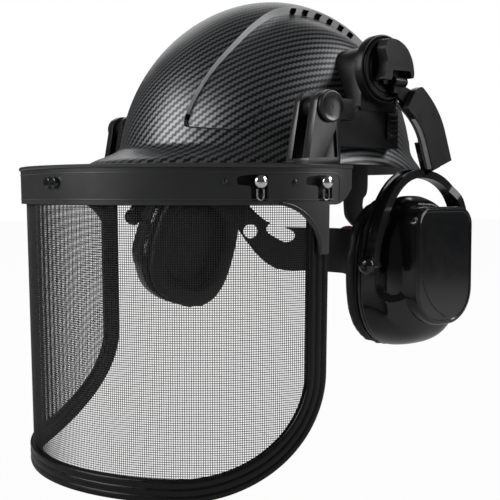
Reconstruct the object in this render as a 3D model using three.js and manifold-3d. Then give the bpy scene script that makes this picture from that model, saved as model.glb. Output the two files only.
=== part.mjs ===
// Forestry helmet: hard-hat shell, flip-up mesh visor and two slot-mounted ear muffs.
// Millimetres, +Z up, the wearer faces -Y and the wearer's left is +X.
// The origin is the centre of the head opening, in the plane of the shell's rim.
import * as THREE from 'three';
import Module from 'manifold-3d';

const wasm = await Module();
wasm.setup();

// ---------------------------------------------------------------- driving dimensions
const GAP = 0.35;                       // clearance between neighbouring pieces

const SHELL = { a: 107, b: 123.5, h: 134, lean: 7, wall: 3, rimZ: 2, flareZ: 17 };
const BRIM = { side: 5, front: 27, rear: 11 };         // how far the rim flares out

const VISOR = { a: 136, b: 148, y: -49, half: 210, height: 216, taper: 0.025 };
const VISOR_CORNER = { s: 106, z: 80 };                // lower corner radii along and down
const BAND = { height: 26, in: 0.95, out: 3.9, flange: 14, lip: 2.5, end: 226.5, taperFrom: 212 };
const GUSSET = { in: 3.35, out: 5.4, from: 169, radius: 32, end: 208 };  // corner piece over the trim
const TRIM = { width: 15, half: 3, groove: 5 };
const MESH = { half: 0.6, top: -3.2 };

const PIVOT = { y: -59, z: 38, capR: 10.5, capDeep: 3.2, pinR: 3.5, dishR: 40, dishDeep: 1.1 };
const CHEEK = { outer: [126.4, 133.4], inner: [111, 116.2], front: -77, rear: -48.5, bridge: 4 };
const BAND_STUD = { places: [160, 205.5], z: -11.5, r: 4.4, neckR: 3.2, neck: 1.4 };
const BAND_CLIP = { z: -18.4, deep: 1.1, half: 2.6, low: -5.2, high: 1.6 };
const PLUG = { s: 18, r: 4, apart: 3.4, deep: 2.4 };
const ADAPTER = {                                      // lowest and highest corners
  base: [[96, -36, 14], [113, 30, 43]], tower: [[84, -10, 40], [114.5, 26, 69]],
  root: [[108, -36, 31], [126.05, -28, 43]], bossR: 18, lugR: 8.5, lugHalf: 7, lugRear: -30,
};
const TAB = { x: [113.35, 115, 116], y: [17, 28], z: [21, 39], ribs: 5, ribHalf: 0.8 };

const HUB = { x: 115, y: 6, z: 69, r: 24, deep: 8, pinR: 6, pinStart: 108.9 };
const HUB_RING = { outer: 2.2, inner: 4, x: [121.4, 123.9] };          // insets from the disc's edge
const BLOCK = {
  outline: [[-6, 55.6], [30, 55.6], [29, 70], [23, 81], [12, 88], [2, 88.5], [-2, 80], [-2, 66]],
  face: 136, mouthHalf: 10, mouthFace: 132.2, mouthRoof: 4.4,
};
const KNUCKLE = { x: 127.6, y: 15, z: 60, r: 3.4, length: 19, neck: 7 };
const FOOT = { y: 55, z: 1, slope: 20.5, straight: 23, bow: 20 };      // lower end of the muff arm
const ARM = { bar: 8, cover: 11, spring: [124.6, 128.2], shield: [128.6, 134.5], tail: 8 };
const SLIDE = { above: 20, below: 28 };                // the yoke's slot, from the foot
const STEM = { x: [121, 124.2], half: 9, length: 22 };
const YOKE = { y: 42.5, z: -69, half: 50, rise: 65, x: [115.4, 128.2], thick: 6, power: 2.3, eyeR: 7 };
const CUP_STUD = { r: 6.4, flat: 0.75, shankR: 2.6, into: 1.7 };
const CUP = { y: 43.5, z: -78, half: 43, tall: 54, rimX: 101, topX: 140, wall: 3, power: 2.6 };
const CUP_PROFILE = [[0, 0], [7, 0.2], [17, 2], [26, 5.5], [33, 11], [37.3, 18], [39, 26]]; // depth, inset
const PANEL = { half: 30.5, top: -28, bottom: -113, face: 148, bevel: 2.4, lowR: 26, highR: 13 };
const FOAM = [[107, 4.6], [118, 6.4], [127, 10.5], [132, 17]];         // x plane, inset
const CUSHION = { inner: 87, hole: 0.6, plate: 2.4 };
const RIGHT_TURN = -19;                                // the right muff rests turned forward
const RIGHT_LIFT = 18;                                 // and pushed this far up its arm

const HEADBAND = { a: 78, b: 92, y: -10, thick: 2.2, tall: 30, z: 6 };
const NAPE = { drop: 74, dropFrom: -12, dropRun: 75, tall: 26, widen: 13, off: 1.6, thick: 2.2, arm: 24 };
const NAPE_HOLES = [[14, -12, 5], [25, -31, 6], [38, -52, 6.5]];       // y, z, radius
const NAPE_WINDOW = [[56, -50, 6], [64, -56, 6]];
const SWEAT = { thick: 3.4, from: -150, to: -30 };
const STRAP = { width: 20, thick: 1.4, top: 94, reach: 97, centre: 20 };
const KEY = { half: 9, z: [3, 23] };
const HOUSING = { half: 30, deep: 6, tall: 15, pocketR: 9.4, floor: 1.2 };
const PINION = { teeth: 12, rootR: 6.6, tipR: 8.6, toothHalf: 0.9 };
const KNOB = { z: -68, r: 21, deep: 9, draft: 1.5, grips: 12, gripR: 2.6, ring: 1.9, ringR: 21.6 };

// ---------------------------------------------------------------- materials
const material = (color, roughness, metalness = 0) =>
  new THREE.MeshStandardMaterial({ color, roughness, metalness });
const SHELL_BLACK = material(0x2a2c2f, 0.3);
const SATIN_BLACK = material(0x232427, 0.45);
const GLOSS_BLACK = material(0x121316, 0.15);
const SOFT_BLACK = material(0x1b1c1e, 0.7);
const FOAM_GREY = material(0x3a3b3d, 0.95);
const STEEL = material(0xb9bcc0, 0.25, 1);
const WIRE = material(0x1e1f21, 0.5, 0.6);
const RED = material(0xc8401c, 0.45);

// ---------------------------------------------------------------- solids from rings
/** A manifold from vertices and triangles, turned outwards. */
function solid(vertices, triangles) {
  let volume = 0;
  for (const [i, j, k] of triangles) {
    const [a, b, c] = [vertices[i], vertices[j], vertices[k]];
    volume += new THREE.Vector3(...a).dot(new THREE.Vector3(...b).cross(new THREE.Vector3(...c)));
  }
  const turned = volume < 0 ? triangles.map(([i, j, k]) => [i, k, j]) : triangles;
  const mesh = new wasm.Mesh({
    numProp: 3,
    vertProperties: new Float32Array(vertices.flat()),
    triVerts: new Uint32Array(turned.flat()),
  });
  return new wasm.Manifold(mesh);
}

/**
 * Joins equal rings of points into a solid. `loop` joins the last ring to the first; otherwise
 * each end is closed by a flat cap, triangulated from the flat outline `cap` or as a fan.
 */
function loft(rings, { loop = false, cap = null } = {}) {
  const count = rings[0].length;
  const vertices = rings.flat();
  const triangles = [];
  const last = loop ? rings.length : rings.length - 1;
  for (let r = 0; r < last; r++) {
    const from = r * count;
    const to = ((r + 1) % rings.length) * count;
    for (let i = 0; i < count; i++) {
      const j = (i + 1) % count;
      triangles.push([from + i, from + j, to + j], [from + i, to + j, to + i]);
    }
  }
  if (!loop) {
    const outline = cap && cap.map(([u, v]) => new THREE.Vector2(u, v));
    const faces = cap
      ? THREE.ShapeUtils.triangulateShape(outline, [])
      : Array.from({ length: count - 2 }, (_, i) => [0, i + 1, i + 2]);
    const flip = cap && THREE.ShapeUtils.isClockWise(outline);
    const end = (rings.length - 1) * count;
    for (const [i, j, k] of faces) {
      const [b, c] = flip ? [k, j] : [j, k];
      triangles.push([i, c, b], [end + i, end + b, end + c]);
    }
  }
  return solid(vertices, triangles);
}

/** A solid of revolution-like rings that starts and ends in a point on its axis. */
function capsule(start, rings, end) {
  const count = rings[0].length;
  const vertices = [start, ...rings.flat(), end];
  const triangles = [];
  for (let i = 0; i < count; i++) {
    const j = (i + 1) % count;
    triangles.push([0, 1 + j, 1 + i]);
    const base = 1 + (rings.length - 1) * count;
    triangles.push([vertices.length - 1, base + i, base + j]);
    for (let r = 0; r < rings.length - 1; r++) {
      const a = 1 + r * count;
      const b = a + count;
      triangles.push([a + i, a + j, b + j], [a + i, b + j, b + i]);
    }
  }
  return solid(vertices, triangles);
}

const steps = (count, from, to) =>
  Array.from({ length: count + 1 }, (_, i) => from + ((to - from) * i) / count);
const turns = (count) => Array.from({ length: count }, (_, i) => (2 * Math.PI * i) / count);
const degrees = (angle) => (angle * Math.PI) / 180;
const smooth = (t) => THREE.MathUtils.smoothstep(t, 0, 1);

/** A box given by its lowest and highest corners. */
const box = ([x0, y0, z0], [x1, y1, z1]) =>
  wasm.Manifold.cube([x1 - x0, y1 - y0, z1 - z0]).translate([x0, y0, z0]);

/** A cylinder from one point along an axis, with an optional far radius. */
function cylinder(radius, length, from, axis = 'z', farRadius = radius, sides = 40) {
  const upright = wasm.Manifold.cylinder(length, radius, farRadius, sides);
  const turned = { x: [0, 90, 0], y: [-90, 0, 0], z: [0, 0, 0] }[axis];
  return upright.rotate(turned).translate(from);
}

/** A plate between two x planes, from an outline in (y, z). */
function plate(outline, [x0, x1]) {
  return loft([x0, x1].map((x) => outline.map(([y, z]) => [x, y, z])), { cap: outline });
}

/** Superellipse point: power 2 is an ellipse, more is squarer. */
function superPoint(angle, a, b, power) {
  const c = Math.cos(angle);
  const s = Math.sin(angle);
  const e = 2 / power;
  return [a * Math.sign(c) * Math.abs(c) ** e, b * Math.sign(s) * Math.abs(s) ** e];
}

/** Rounded rectangle outline in (y, z), corner radii given for the bottom and the top. */
function roundedOutline([y0, z0], [y1, z1], low, high, parts = 6) {
  const corners = [
    [y1 - low, z0 + low, low, -90], [y1 - high, z1 - high, high, 0],
    [y0 + high, z1 - high, high, 90], [y0 + low, z0 + low, low, 180],
  ];
  return corners.flatMap(([y, z, r, start]) => steps(parts, 0, 90).map((turn) => {
    const angle = degrees(start + turn);
    return [y + r * Math.cos(angle), z + r * Math.sin(angle)];
  }));
}

// ---------------------------------------------------------------- shell
/** A point of the shell's outer surface at an angle round it and a height, grown outwards. */
function shellPoint(angle, z, grow = 0) {
  const height = SHELL.h + grow;
  const dome = Math.sqrt(Math.max(0, 1 - (z / height) ** 2));
  const flare = (1 - smooth((z - SHELL.rimZ) / SHELL.flareZ)) ** 1.6;
  const end = Math.sin(angle) < 0 ? BRIM.front : BRIM.rear;
  const reach = BRIM.side + (end - BRIM.side) * Math.sin(angle) ** 2;
  const x = ((SHELL.a + grow) * dome + reach * flare) * Math.cos(angle);
  const y = ((SHELL.b + grow) * dome + reach * flare) * Math.sin(angle);
  return [x, y + SHELL.lean * (z / height) ** 2, z];
}

const DOME_LEVELS = steps(10, 0, 1.5).map((t) => SHELL.rimZ + (SHELL.h - SHELL.rimZ) * Math.sin(t));

function shellRings(grow, levels) {
  return levels.map((z) => turns(48).map((angle) => shellPoint(angle, z, grow)));
}

/** The filled space under the shell's outer surface, grown by a clearance. */
function shellBlock(grow) {
  const levels = DOME_LEVELS.map((z) => z * (1 + grow / SHELL.h));
  const floor = shellRings(grow, [SHELL.rimZ]).map((ring) => ring.map(([x, y]) => [x, y, -1]));
  return capsule([0, 0, -1], [...floor, ...shellRings(grow, levels)], [0, SHELL.lean, SHELL.h + grow]);
}

function shell() {
  const outer = shellRings(0, DOME_LEVELS);
  const innerTop = (SHELL.h - SHELL.wall) / SHELL.h;
  const inner = shellRings(-SHELL.wall, DOME_LEVELS.map((z) => z * innerTop));
  return capsule([0, SHELL.lean, SHELL.h], [...outer.reverse(), ...inner],
    [0, SHELL.lean, SHELL.h - SHELL.wall]);
}

// ---------------------------------------------------------------- visor
const VISOR_ARC = 400;
const arcAngles = steps(VISOR_ARC, -Math.PI, Math.PI);
const arcLengths = [0];
for (let i = 1; i <= VISOR_ARC; i++) {
  const [from, to] = [arcAngles[i - 1], arcAngles[i]];
  const across = VISOR.a * (Math.sin(to) - Math.sin(from));
  arcLengths.push(arcLengths[i - 1] + Math.hypot(across, VISOR.b * (Math.cos(to) - Math.cos(from))));
}

/** The angle round the visor's ellipse at an arc length from its front. */
function visorAngle(s) {
  const target = s + arcLengths[VISOR_ARC / 2];
  const next = arcLengths.findIndex((length) => length >= target);
  const share = (target - arcLengths[next - 1]) / (arcLengths[next] - arcLengths[next - 1]);
  return arcAngles[next - 1] + share * (arcAngles[next] - arcAngles[next - 1]);
}

/** A point at arc length s, height z, and a distance out from the visor's surface. */
function visorPoint(s, z, out) {
  const angle = visorAngle(s);
  const normal = new THREE.Vector2(Math.sin(angle) / VISOR.a, -Math.cos(angle) / VISOR.b).normalize();
  const narrow = 1 - (VISOR.taper * -z) / 200;
  const x = VISOR.a * Math.sin(angle) * narrow + normal.x * out;
  const y = VISOR.y - VISOR.b * Math.cos(angle) * narrow + normal.y * out;
  return [x, y, z];
}

/** A curved sheet between two offsets from the visor's surface, with its own top and bottom edge. */
function sheet(columns, top, bottom, inner, outer, rows) {
  const rings = columns.map((s) => {
    const heights = steps(rows, bottom(s), top(s));
    const out = heights.map((z) => visorPoint(s, z, outer));
    const back = heights.map((z) => visorPoint(s, z, inner)).reverse();
    return [...out, ...back];
  });
  const cap = [...steps(rows, 0, 10).map((u) => [u, 1]), ...steps(rows, 10, 0).map((u) => [u, 0])];
  return loft(rings, { cap });
}

/** The visor's outline, inset by a distance: from the left end down, across and up the right end. */
function visorOutline(inset, startZ, parts = 12) {
  const half = VISOR.half - inset;
  const low = -(VISOR.height - inset);
  const [rs, rz] = [VISOR_CORNER.s - inset, VISOR_CORNER.z - inset];
  const side = steps(7, startZ, low + rz).slice(0, -1).map((z) => [half, z]);
  const corner = steps(parts, 0, 90).map((turn) => {
    const t = degrees(turn);
    return [half - rs + rs * Math.cos(t), low + rz - rz * Math.sin(t)];
  });
  const left = [...side, ...corner, ...steps(8, half - rs, 0).slice(1).map((s) => [s, low])];
  const right = left.slice(0, -1).reverse().map(([s, z]) => [-s, z]);
  return [...left, ...right];
}

function visorTrim() {
  const section = [
    [0, -TRIM.half], [0, TRIM.half], [TRIM.width, TRIM.half], [TRIM.width, MESH.half + GAP],
    [TRIM.width - TRIM.groove, MESH.half + GAP], [TRIM.width - TRIM.groove, -MESH.half - GAP],
    [TRIM.width, -MESH.half - GAP], [TRIM.width, -TRIM.half],
  ];
  const startZ = -BAND.height - GAP;
  const outer = visorOutline(0, startZ);
  const inner = visorOutline(TRIM.width, startZ);
  const rings = outer.map(([s, z], i) => section.map(([across, out]) => {
    const share = across / TRIM.width;
    return visorPoint(s + (inner[i][0] - s) * share, z + (inner[i][1] - z) * share, out);
  }));
  return loft(rings, { cap: section });
}

function meshScreen() {
  const inset = TRIM.width - TRIM.groove + GAP;
  const half = VISOR.half - inset;
  const [rs, rz] = [VISOR_CORNER.s - inset, VISOR_CORNER.z - inset];
  const low = -(VISOR.height - inset);
  const edge = steps(10, 0, 90).map((turn) => half - rs + rs * Math.sin(degrees(turn)));
  const flat = steps(12, -(half - rs), half - rs).slice(1, -1);
  const columns = [...edge.map((s) => -s).reverse(), ...flat, ...edge];
  const bottom = (s) => {
    const into = Math.max(0, Math.abs(s) - (half - rs)) / rs;
    return low + rz - rz * Math.sqrt(Math.max(0, 1 - into ** 2));
  };
  return sheet(columns, () => MESH.top, bottom, -MESH.half, MESH.half, 6);
}

/** The lower edge of the brow band, which rises towards its ends. */
const bandBottom = (s) => -BAND.height + 0.055 * Math.max(0, Math.abs(s) - BAND.taperFrom) ** 2;

/** The lower edge of the corner gusset: a quarter round, then level to its end. */
function gussetBottom(s) {
  const into = Math.min(s - GUSSET.from, GUSSET.radius);
  return -BAND.height - GUSSET.radius + Math.sqrt(GUSSET.radius ** 2 - into ** 2);
}

function browBand() {
  const columns = steps(44, -BAND.end, BAND.end);
  const wall = sheet(columns, () => -1, bandBottom, BAND.in, BAND.out, 1);
  const flange = sheet(columns, () => 0, () => -BAND.lip, -BAND.flange, BAND.out + 1, 1);
  const corner = [...steps(8, GUSSET.from + 0.5, GUSSET.from + GUSSET.radius), GUSSET.end];
  const gusset = sheet(corner, () => -BAND.height + 1, gussetBottom, GUSSET.in, GUSSET.out, 1);
  return wall.add(flange).add(gusset).add(gusset.mirror([1, 0, 0]));
}

/** The visor's arm: two cheeks that straddle the adapter's lug, joined to the band's flange. */
function visorArm() {
  const round = PIVOT.capR + 0.5;
  const head = steps(12, 180, 0).map(degrees).map((angle) =>
    [PIVOT.y + round * Math.cos(angle), PIVOT.z + round * Math.sin(angle)]);
  const cheek = (span) => plate([[CHEEK.front, 0], ...head, [CHEEK.rear, 0]], span);
  const bridge = box([CHEEK.inner[0], CHEEK.front, GAP], [CHEEK.outer[1], CHEEK.rear, CHEEK.bridge]);
  const relief = plate([[-64, 5], [-51, 5], [-52.5, 24]], [CHEEK.outer[1] - 2, CHEEK.outer[1] + 1]);
  const bore = cylinder(PIVOT.pinR + GAP, 60, [90, PIVOT.y, PIVOT.z], 'x');
  return cheek(CHEEK.outer).add(cheek(CHEEK.inner)).add(bridge).subtract(relief).subtract(bore);
}

/** The dished pivot cap with its pin, which runs through both cheeks and the lug. */
function pivotBolt() {
  const x = CHEEK.outer[1] + GAP;
  const disc = cylinder(PIVOT.capR, PIVOT.capDeep, [x, PIVOT.y, PIVOT.z], 'x', PIVOT.capR - 0.8);
  const away = x + PIVOT.capDeep + PIVOT.dishR - PIVOT.dishDeep;
  const dish = wasm.Manifold.sphere(PIVOT.dishR, 72).translate([away, PIVOT.y, PIVOT.z]);
  const start = CHEEK.inner[0] + 0.6;
  return disc.subtract(dish).add(cylinder(PIVOT.pinR, x + 1 - start, [start, PIVOT.y, PIVOT.z], 'x'));
}

/** Turns a piece made along +X at the origin to stand on the band at arc length s. */
function onBand(piece, s, z) {
  const [x, y] = visorPoint(s, z, BAND.out + GAP);
  const [nx, ny] = visorPoint(s, z, BAND.out + GAP + 1);
  const heading = (Math.atan2(ny - y, nx - x) * 180) / Math.PI;
  return piece.rotate([0, 0, heading]).translate([x, y, z]);
}

/** A domed stud on a short neck. */
const stud = (s) => {
  const { r, neck, neckR, z } = BAND_STUD;
  const dome = wasm.Manifold.sphere(r, 16).intersect(box([0, -5, -5], [5, 5, 5])).scale([0.8, 1, 1]);
  const foot = cylinder(neckR, neck + 0.2, [0, 0, 0], 'x', neckR, 16);
  return onBand(dome.translate([neck, 0, 0]).add(foot), s, z);
};

/** The metal tongue under a stud. */
const clip = (s) => {
  const { deep, half, low, high, z } = BAND_CLIP;
  return onBand(box([0, -half, low], [deep, half, high]), s, z);
};

/** The two-lobed plug near the middle of the band. */
const centrePlug = () => {
  const lobe = (y) => cylinder(PLUG.r, PLUG.deep, [0, y, 0], 'x', PLUG.r - 0.6, 20);
  return onBand(lobe(-PLUG.apart).add(lobe(PLUG.apart)), PLUG.s, BAND_STUD.z);
};

// ---------------------------------------------------------------- adapter, hub and arm
/** Fixed in the shell's side slot: base, tower up to the hub, and the visor's lug. */
function slotAdapter() {
  const [lugIn, lugOut] = [CHEEK.inner[1] + GAP, CHEEK.outer[0] - GAP];
  const { base, tower, root, bossR, lugR, lugHalf, lugRear } = ADAPTER;
  const start = tower[0][0];
  const boss = cylinder(bossR, tower[1][0] - start, [start, HUB.y + 2, HUB.z], 'x');
  const lug = box([lugIn, PIVOT.y, PIVOT.z - lugHalf], [lugOut, lugRear, PIVOT.z + lugHalf])
    .add(cylinder(lugR, lugOut - lugIn, [lugIn, PIVOT.y, PIVOT.z], 'x'));
  const bore = cylinder(PIVOT.pinR + GAP, 30, [root[0][0], PIVOT.y, PIVOT.z], 'x');
  const seat = cylinder(HUB.pinR + GAP, 8, [HUB.pinStart - GAP, HUB.y, HUB.z], 'x');
  return box(...base).add(box(...tower)).add(boss).add(lug).add(box(...root))
    .subtract(bore).subtract(seat).subtract(shellBlock(GAP));
}

/** The ribbed tab that lets the adapter out of its slot. */
function releaseTab() {
  const { x: [start, face, top], y: [y0, y1], z: [z0, z1] } = TAB;
  const ribs = steps(TAB.ribs - 1, z0 + 2, z1 - 2).map((z) =>
    box([face - 0.5, y0 + 1, z - TAB.ribHalf], [top, y1 - 1, z + TAB.ribHalf]));
  return ribs.reduce((body, rib) => body.add(rib), box([start, y0, z0], [face, y1, z1]));
}

/** The turning disc of the muff, with the hub pin that seats in the adapter. */
function hubDisc() {
  const disc = cylinder(HUB.r, HUB.deep, [HUB.x, HUB.y, HUB.z], 'x', HUB.r - 1, 56);
  const [low, high] = HUB_RING.x;
  const ring = cylinder(HUB.r - HUB_RING.outer, high - low, [low, HUB.y, HUB.z], 'x')
    .subtract(cylinder(HUB.r - HUB_RING.inner, high - low + 1, [low - 0.5, HUB.y, HUB.z], 'x'));
  const pin = cylinder(HUB.pinR, HUB.x + 1 - HUB.pinStart, [HUB.pinStart, HUB.y, HUB.z], 'x');
  return disc.add(ring).add(pin);
}

/** The raised block on the disc, whose mouth holds the arm's knuckle. */
function hubBlock() {
  const { outline, face, mouthHalf, mouthFace, mouthRoof } = BLOCK;
  const low = HUB.x;
  const block = plate(outline, [HUB_RING.x[1] + GAP, face]);
  const mouth = box([low, KNUCKLE.y - mouthHalf, 50],
    [mouthFace, KNUCKLE.y + mouthHalf, KNUCKLE.z + mouthRoof]);
  const swing = box([low, KNUCKLE.y, 50], [face + 1, KNUCKLE.y + 25, KNUCKLE.z - 0.4]);
  return block.subtract(mouth).subtract(swing);
}

const footDown = new THREE.Vector2(Math.sin(degrees(FOOT.slope)), -Math.cos(degrees(FOOT.slope)));
const foot = new THREE.Vector2(FOOT.y, FOOT.z);
const bend = foot.clone().addScaledVector(footDown, -FOOT.straight);
const armCurve = new THREE.QuadraticBezierCurve(
  new THREE.Vector2(KNUCKLE.y, KNUCKLE.z - 5.5),
  bend.clone().addScaledVector(footDown, -FOOT.bow), bend);

/** A box on the straight part of the arm, from distances below the foot and across it. */
function footBox([x0, x1], half, from, to) {
  return plate([[-half, from], [half, from], [half, to], [-half, to]].map(([across, along]) => [
    foot.x - footDown.y * across + footDown.x * along,
    foot.y + footDown.x * across + footDown.y * along,
  ]), [x0, x1]);
}

/** A curved bar that follows the arm between two x planes, down to a distance below the foot. */
function armBar([x0, x1], half, from, to) {
  const places = [...steps(10, from, 1).map((t) => [armCurve.getPoint(t), armCurve.getTangent(t)]),
    [foot.clone().addScaledVector(footDown, to), footDown]];
  return loft(places.map(([at, along]) => [[x0, half], [x1, half], [x1, -half], [x0, -half]].map(
    ([x, across]) => [x, at.x - along.y * across, at.y + along.x * across])));
}

/** The flat steel spring: a knuckle in the block's mouth, the bar, and a tail through the yoke. */
const armSpring = () => {
  const { x, y, z, r, length, neck } = KNUCKLE;
  const knuckle = cylinder(r, length, [x, y - length / 2, z], 'y', r, 24);
  const root = box([ARM.spring[0], y - neck, z - 10], [ARM.spring[1], y + neck, z + 1]);
  return knuckle.add(root).add(armBar(ARM.spring, ARM.bar, 0, ARM.tail));
};

/** The moulded cover over the spring starts below the hub and stops at the foot. */
const COVER_START = 0.23;
const armCover = () => armBar(ARM.shield, ARM.cover, COVER_START, 0);

// ---------------------------------------------------------------- yoke and cup
/** The fork over the cup, hung on the arm's tail, with an eye at each end for a pivot stud. */
const yokeMiddle = (YOKE.x[0] + YOKE.x[1]) / 2;
function yoke() {
  const [x0, x1] = YOKE.x;
  const half = YOKE.thick / 2;
  const bow = (turn) => new THREE.Vector2(...superPoint(turn, YOKE.half, YOKE.rise, YOKE.power));
  const rings = steps(24, 0, Math.PI).map((turn) => {
    const at = bow(turn);
    const along = bow(turn + 0.02).sub(bow(turn - 0.02)).normalize();
    return [[x0, -half], [x1, -half], [x1, half], [x0, half]].map(([x, out]) =>
      [x, YOKE.y + at.x + along.y * out, YOKE.z + at.y - along.x * out]);
  });
  const eye = (side) => cylinder(YOKE.eyeR, YOKE.thick,
    [yokeMiddle, YOKE.y + side * YOKE.half - half, YOKE.z], 'y');
  const bore = cylinder(CUP_STUD.shankR + GAP, 140, [yokeMiddle, -40, YOKE.z], 'y');
  const slot = footBox([ARM.spring[0] - GAP, ARM.spring[1] + 2], ARM.bar + GAP, -SLIDE.above, SLIDE.below);
  const stem = footBox(STEM.x, STEM.half, -STEM.length, 3);
  return loft(rings).add(eye(1)).add(eye(-1)).add(stem).subtract(bore).subtract(slot);
}

/** A domed stud through a yoke eye; side is -1 at the front and 1 at the back. */
function pivotStud(side) {
  const { r, flat, shankR, into } = CUP_STUD;
  const face = YOKE.y + side * (YOKE.half + YOKE.thick / 2 + GAP);
  const far = face + side * (r + 1);
  const outside = box([yokeMiddle - r - 1, Math.min(face, far), YOKE.z - r - 1],
    [yokeMiddle + r + 1, Math.max(face, far), YOKE.z + r + 1]);
  const head = wasm.Manifold.sphere(r, 20).scale([1, flat, 1])
    .translate([yokeMiddle, face, YOKE.z]).intersect(outside);
  const tip = CUP.y + side * (CUP.half - into);
  const shank = cylinder(shankR, Math.abs(face - tip), [yokeMiddle, Math.min(face, tip), YOKE.z],
    'y', shankR, 20);
  return head.add(shank);
}

/** One ring of the cup's shape: a share of its half width and height, at an x plane. */
const cupRing = (x, less, count = 32) => turns(count).map((angle) => {
  const [y, z] = superPoint(angle, CUP.half - less, CUP.tall - less, CUP.power);
  return [x, CUP.y + y, CUP.z + z];
});
const CUP_DEPTH = CUP.topX - CUP.rimX;

/** The filled cup, grown by a clearance. */
const cupBlock = (grow) => {
  const rings = CUP_PROFILE.map(([depth, less]) =>
    cupRing(CUP.rimX + depth + (depth ? grow : -1), less - grow));
  return capsule([CUP.rimX - 1, CUP.y, CUP.z], rings, [CUP.topX + grow, CUP.y, CUP.z]);
};

function cupShell() {
  const outer = CUP_PROFILE.map(([depth, less]) => cupRing(CUP.rimX + depth, less));
  const inner = CUP_PROFILE.map(([depth, less]) =>
    cupRing(CUP.rimX + (depth * (CUP_DEPTH - CUP.wall)) / CUP_DEPTH, less + CUP.wall));
  return capsule([CUP.topX, CUP.y, CUP.z], [...outer.reverse(), ...inner],
    [CUP.topX - CUP.wall, CUP.y, CUP.z]);
}

/** The raised panel on the outside of the cup, with a flat bevelled face. */
function cupPanel() {
  const { half, top, bottom, face, bevel, lowR, highR } = PANEL;
  const outline = (less) => roundedOutline([CUP.y - half + less, bottom + less],
    [CUP.y + half - less, top - less], lowR - less, highR - less);
  const rings = [[face - 21, bevel / 2], [face - bevel, 0], [face, bevel]].map(([x, less]) =>
    outline(less).map(([y, z]) => [x, y, z]));
  return loft(rings, { cap: outline(0) }).subtract(cupBlock(GAP));
}

/** Foam disc that fills the back of the cup. */
const cupFoam = () => loft(FOAM.map(([x, less]) => cupRing(x, less)));

/** The ear opening, as a block between two x planes. */
const earHole = (x0, x1) => loft([x0, x1].map((x) => turns(28).map((angle) => {
  const [y, z] = superPoint(angle, CUP.half * CUSHION.hole, CUP.tall * CUSHION.hole, CUP.power);
  return [x, CUP.y + y, CUP.z + z];
})));

/** The plate that carries the cushion, with the ear opening. */
function cushionPlate() {
  const disc = loft([cupRing(CUP.rimX - CUSHION.plate, -0.4), cupRing(CUP.rimX - GAP, -0.4)]);
  return disc.subtract(earHole(CUSHION.inner, CUP.rimX + 5));
}

function cushion() {
  const { inner, plate: deep } = CUSHION;
  const back = CUP.rimX - deep - GAP;
  const rings = [[back, 0.6], [back - 4, -0.6], [inner + 3, 0.4], [inner, 5]]
    .map(([x, less]) => cupRing(x, less));
  return loft(rings).subtract(earHole(inner - 5, CUP.rimX + 5));
}

// ---------------------------------------------------------------- harness
/** A strip bent round the head: a wall between two offsets, with its height by place. */
function headStrip(from, to, inner, outer, height, tall, parts = 40) {
  const rings = steps(parts, degrees(from), degrees(to)).map((angle) => {
    const place = (grow) => [(HEADBAND.a + grow) * Math.cos(angle),
      HEADBAND.y + (HEADBAND.b + grow) * Math.sin(angle)];
    const [xi, yi] = place(inner);
    const [xo, yo] = place(outer);
    const z = height(yi);
    const half = tall(yi) / 2;
    return [[xi, yi, z - half], [xo, yo, z - half], [xo, yo, z + half], [xi, yi, z + half]];
  });
  return loft(rings);
}

const headband = () =>
  headStrip(-188, 8, -HEADBAND.thick, 0, () => HEADBAND.z, () => HEADBAND.tall);
const sweatband = () => headStrip(SWEAT.from, SWEAT.to, -HEADBAND.thick - SWEAT.thick,
  -HEADBAND.thick - GAP, () => HEADBAND.z, () => HEADBAND.tall - 2);

const napeShare = (y) => smooth((y - NAPE.dropFrom) / NAPE.dropRun);
const napeHeight = (y) => HEADBAND.z - NAPE.drop * napeShare(y);
const napeTall = (y) => NAPE.tall + NAPE.widen * napeShare(y);

/** The nape strap: a rear half ring that drops and widens, with straight arms along the headband. */
function napeStrap() {
  const outer = NAPE.off + NAPE.thick;
  const rear = headStrip(0, 180, NAPE.off, outer, napeHeight, napeTall, 32);
  const arm = box([HEADBAND.a + NAPE.off, HEADBAND.y - NAPE.arm, HEADBAND.z - NAPE.tall / 2],
    [HEADBAND.a + outer, HEADBAND.y + 0.5, HEADBAND.z + NAPE.tall / 2]);
  const hole = ([y, z, r]) => cylinder(r, 200, [-100, y, z], 'x', r, 24);
  const cuts = [...NAPE_HOLES.map(hole), wasm.Manifold.hull(NAPE_WINDOW.map(hole))];
  return cuts.reduce((body, cut) => body.subtract(cut), rear.add(arm).add(arm.mirror([1, 0, 0])));
}

const housingFace = HEADBAND.y + HEADBAND.b + NAPE.off + NAPE.thick + GAP;
const knobFace = housingFace + HOUSING.deep + GAP;

function ratchetHousing() {
  const { half, deep, tall } = HOUSING;
  const block = box([-half, housingFace, KNOB.z - tall], [half, housingFace + deep, KNOB.z + tall]);
  const ends = [-half, half].map((x) => cylinder(tall, deep, [x, housingFace, KNOB.z], 'y'));
  const pocket = cylinder(HOUSING.pocketR, deep, [0, housingFace + HOUSING.floor, KNOB.z], 'y');
  return block.add(ends[0]).add(ends[1]).subtract(pocket);
}

/** The toothed wheel that the knob turns in the housing's pocket. */
function pinion() {
  const { teeth, rootR, tipR, toothHalf } = PINION;
  const deep = HOUSING.deep - 2;
  const tooth = box([-toothHalf, 0, rootR - 1], [toothHalf, deep, tipR]);
  const wheel = turns(teeth).reduce((body, angle) =>
    body.add(tooth.rotate([0, (angle * 180) / Math.PI, 0])),
  cylinder(rootR, deep, [0, 0, 0], 'y', rootR, 24));
  return wheel.translate([0, housingFace + HOUSING.floor + GAP, KNOB.z]);
}

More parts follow.
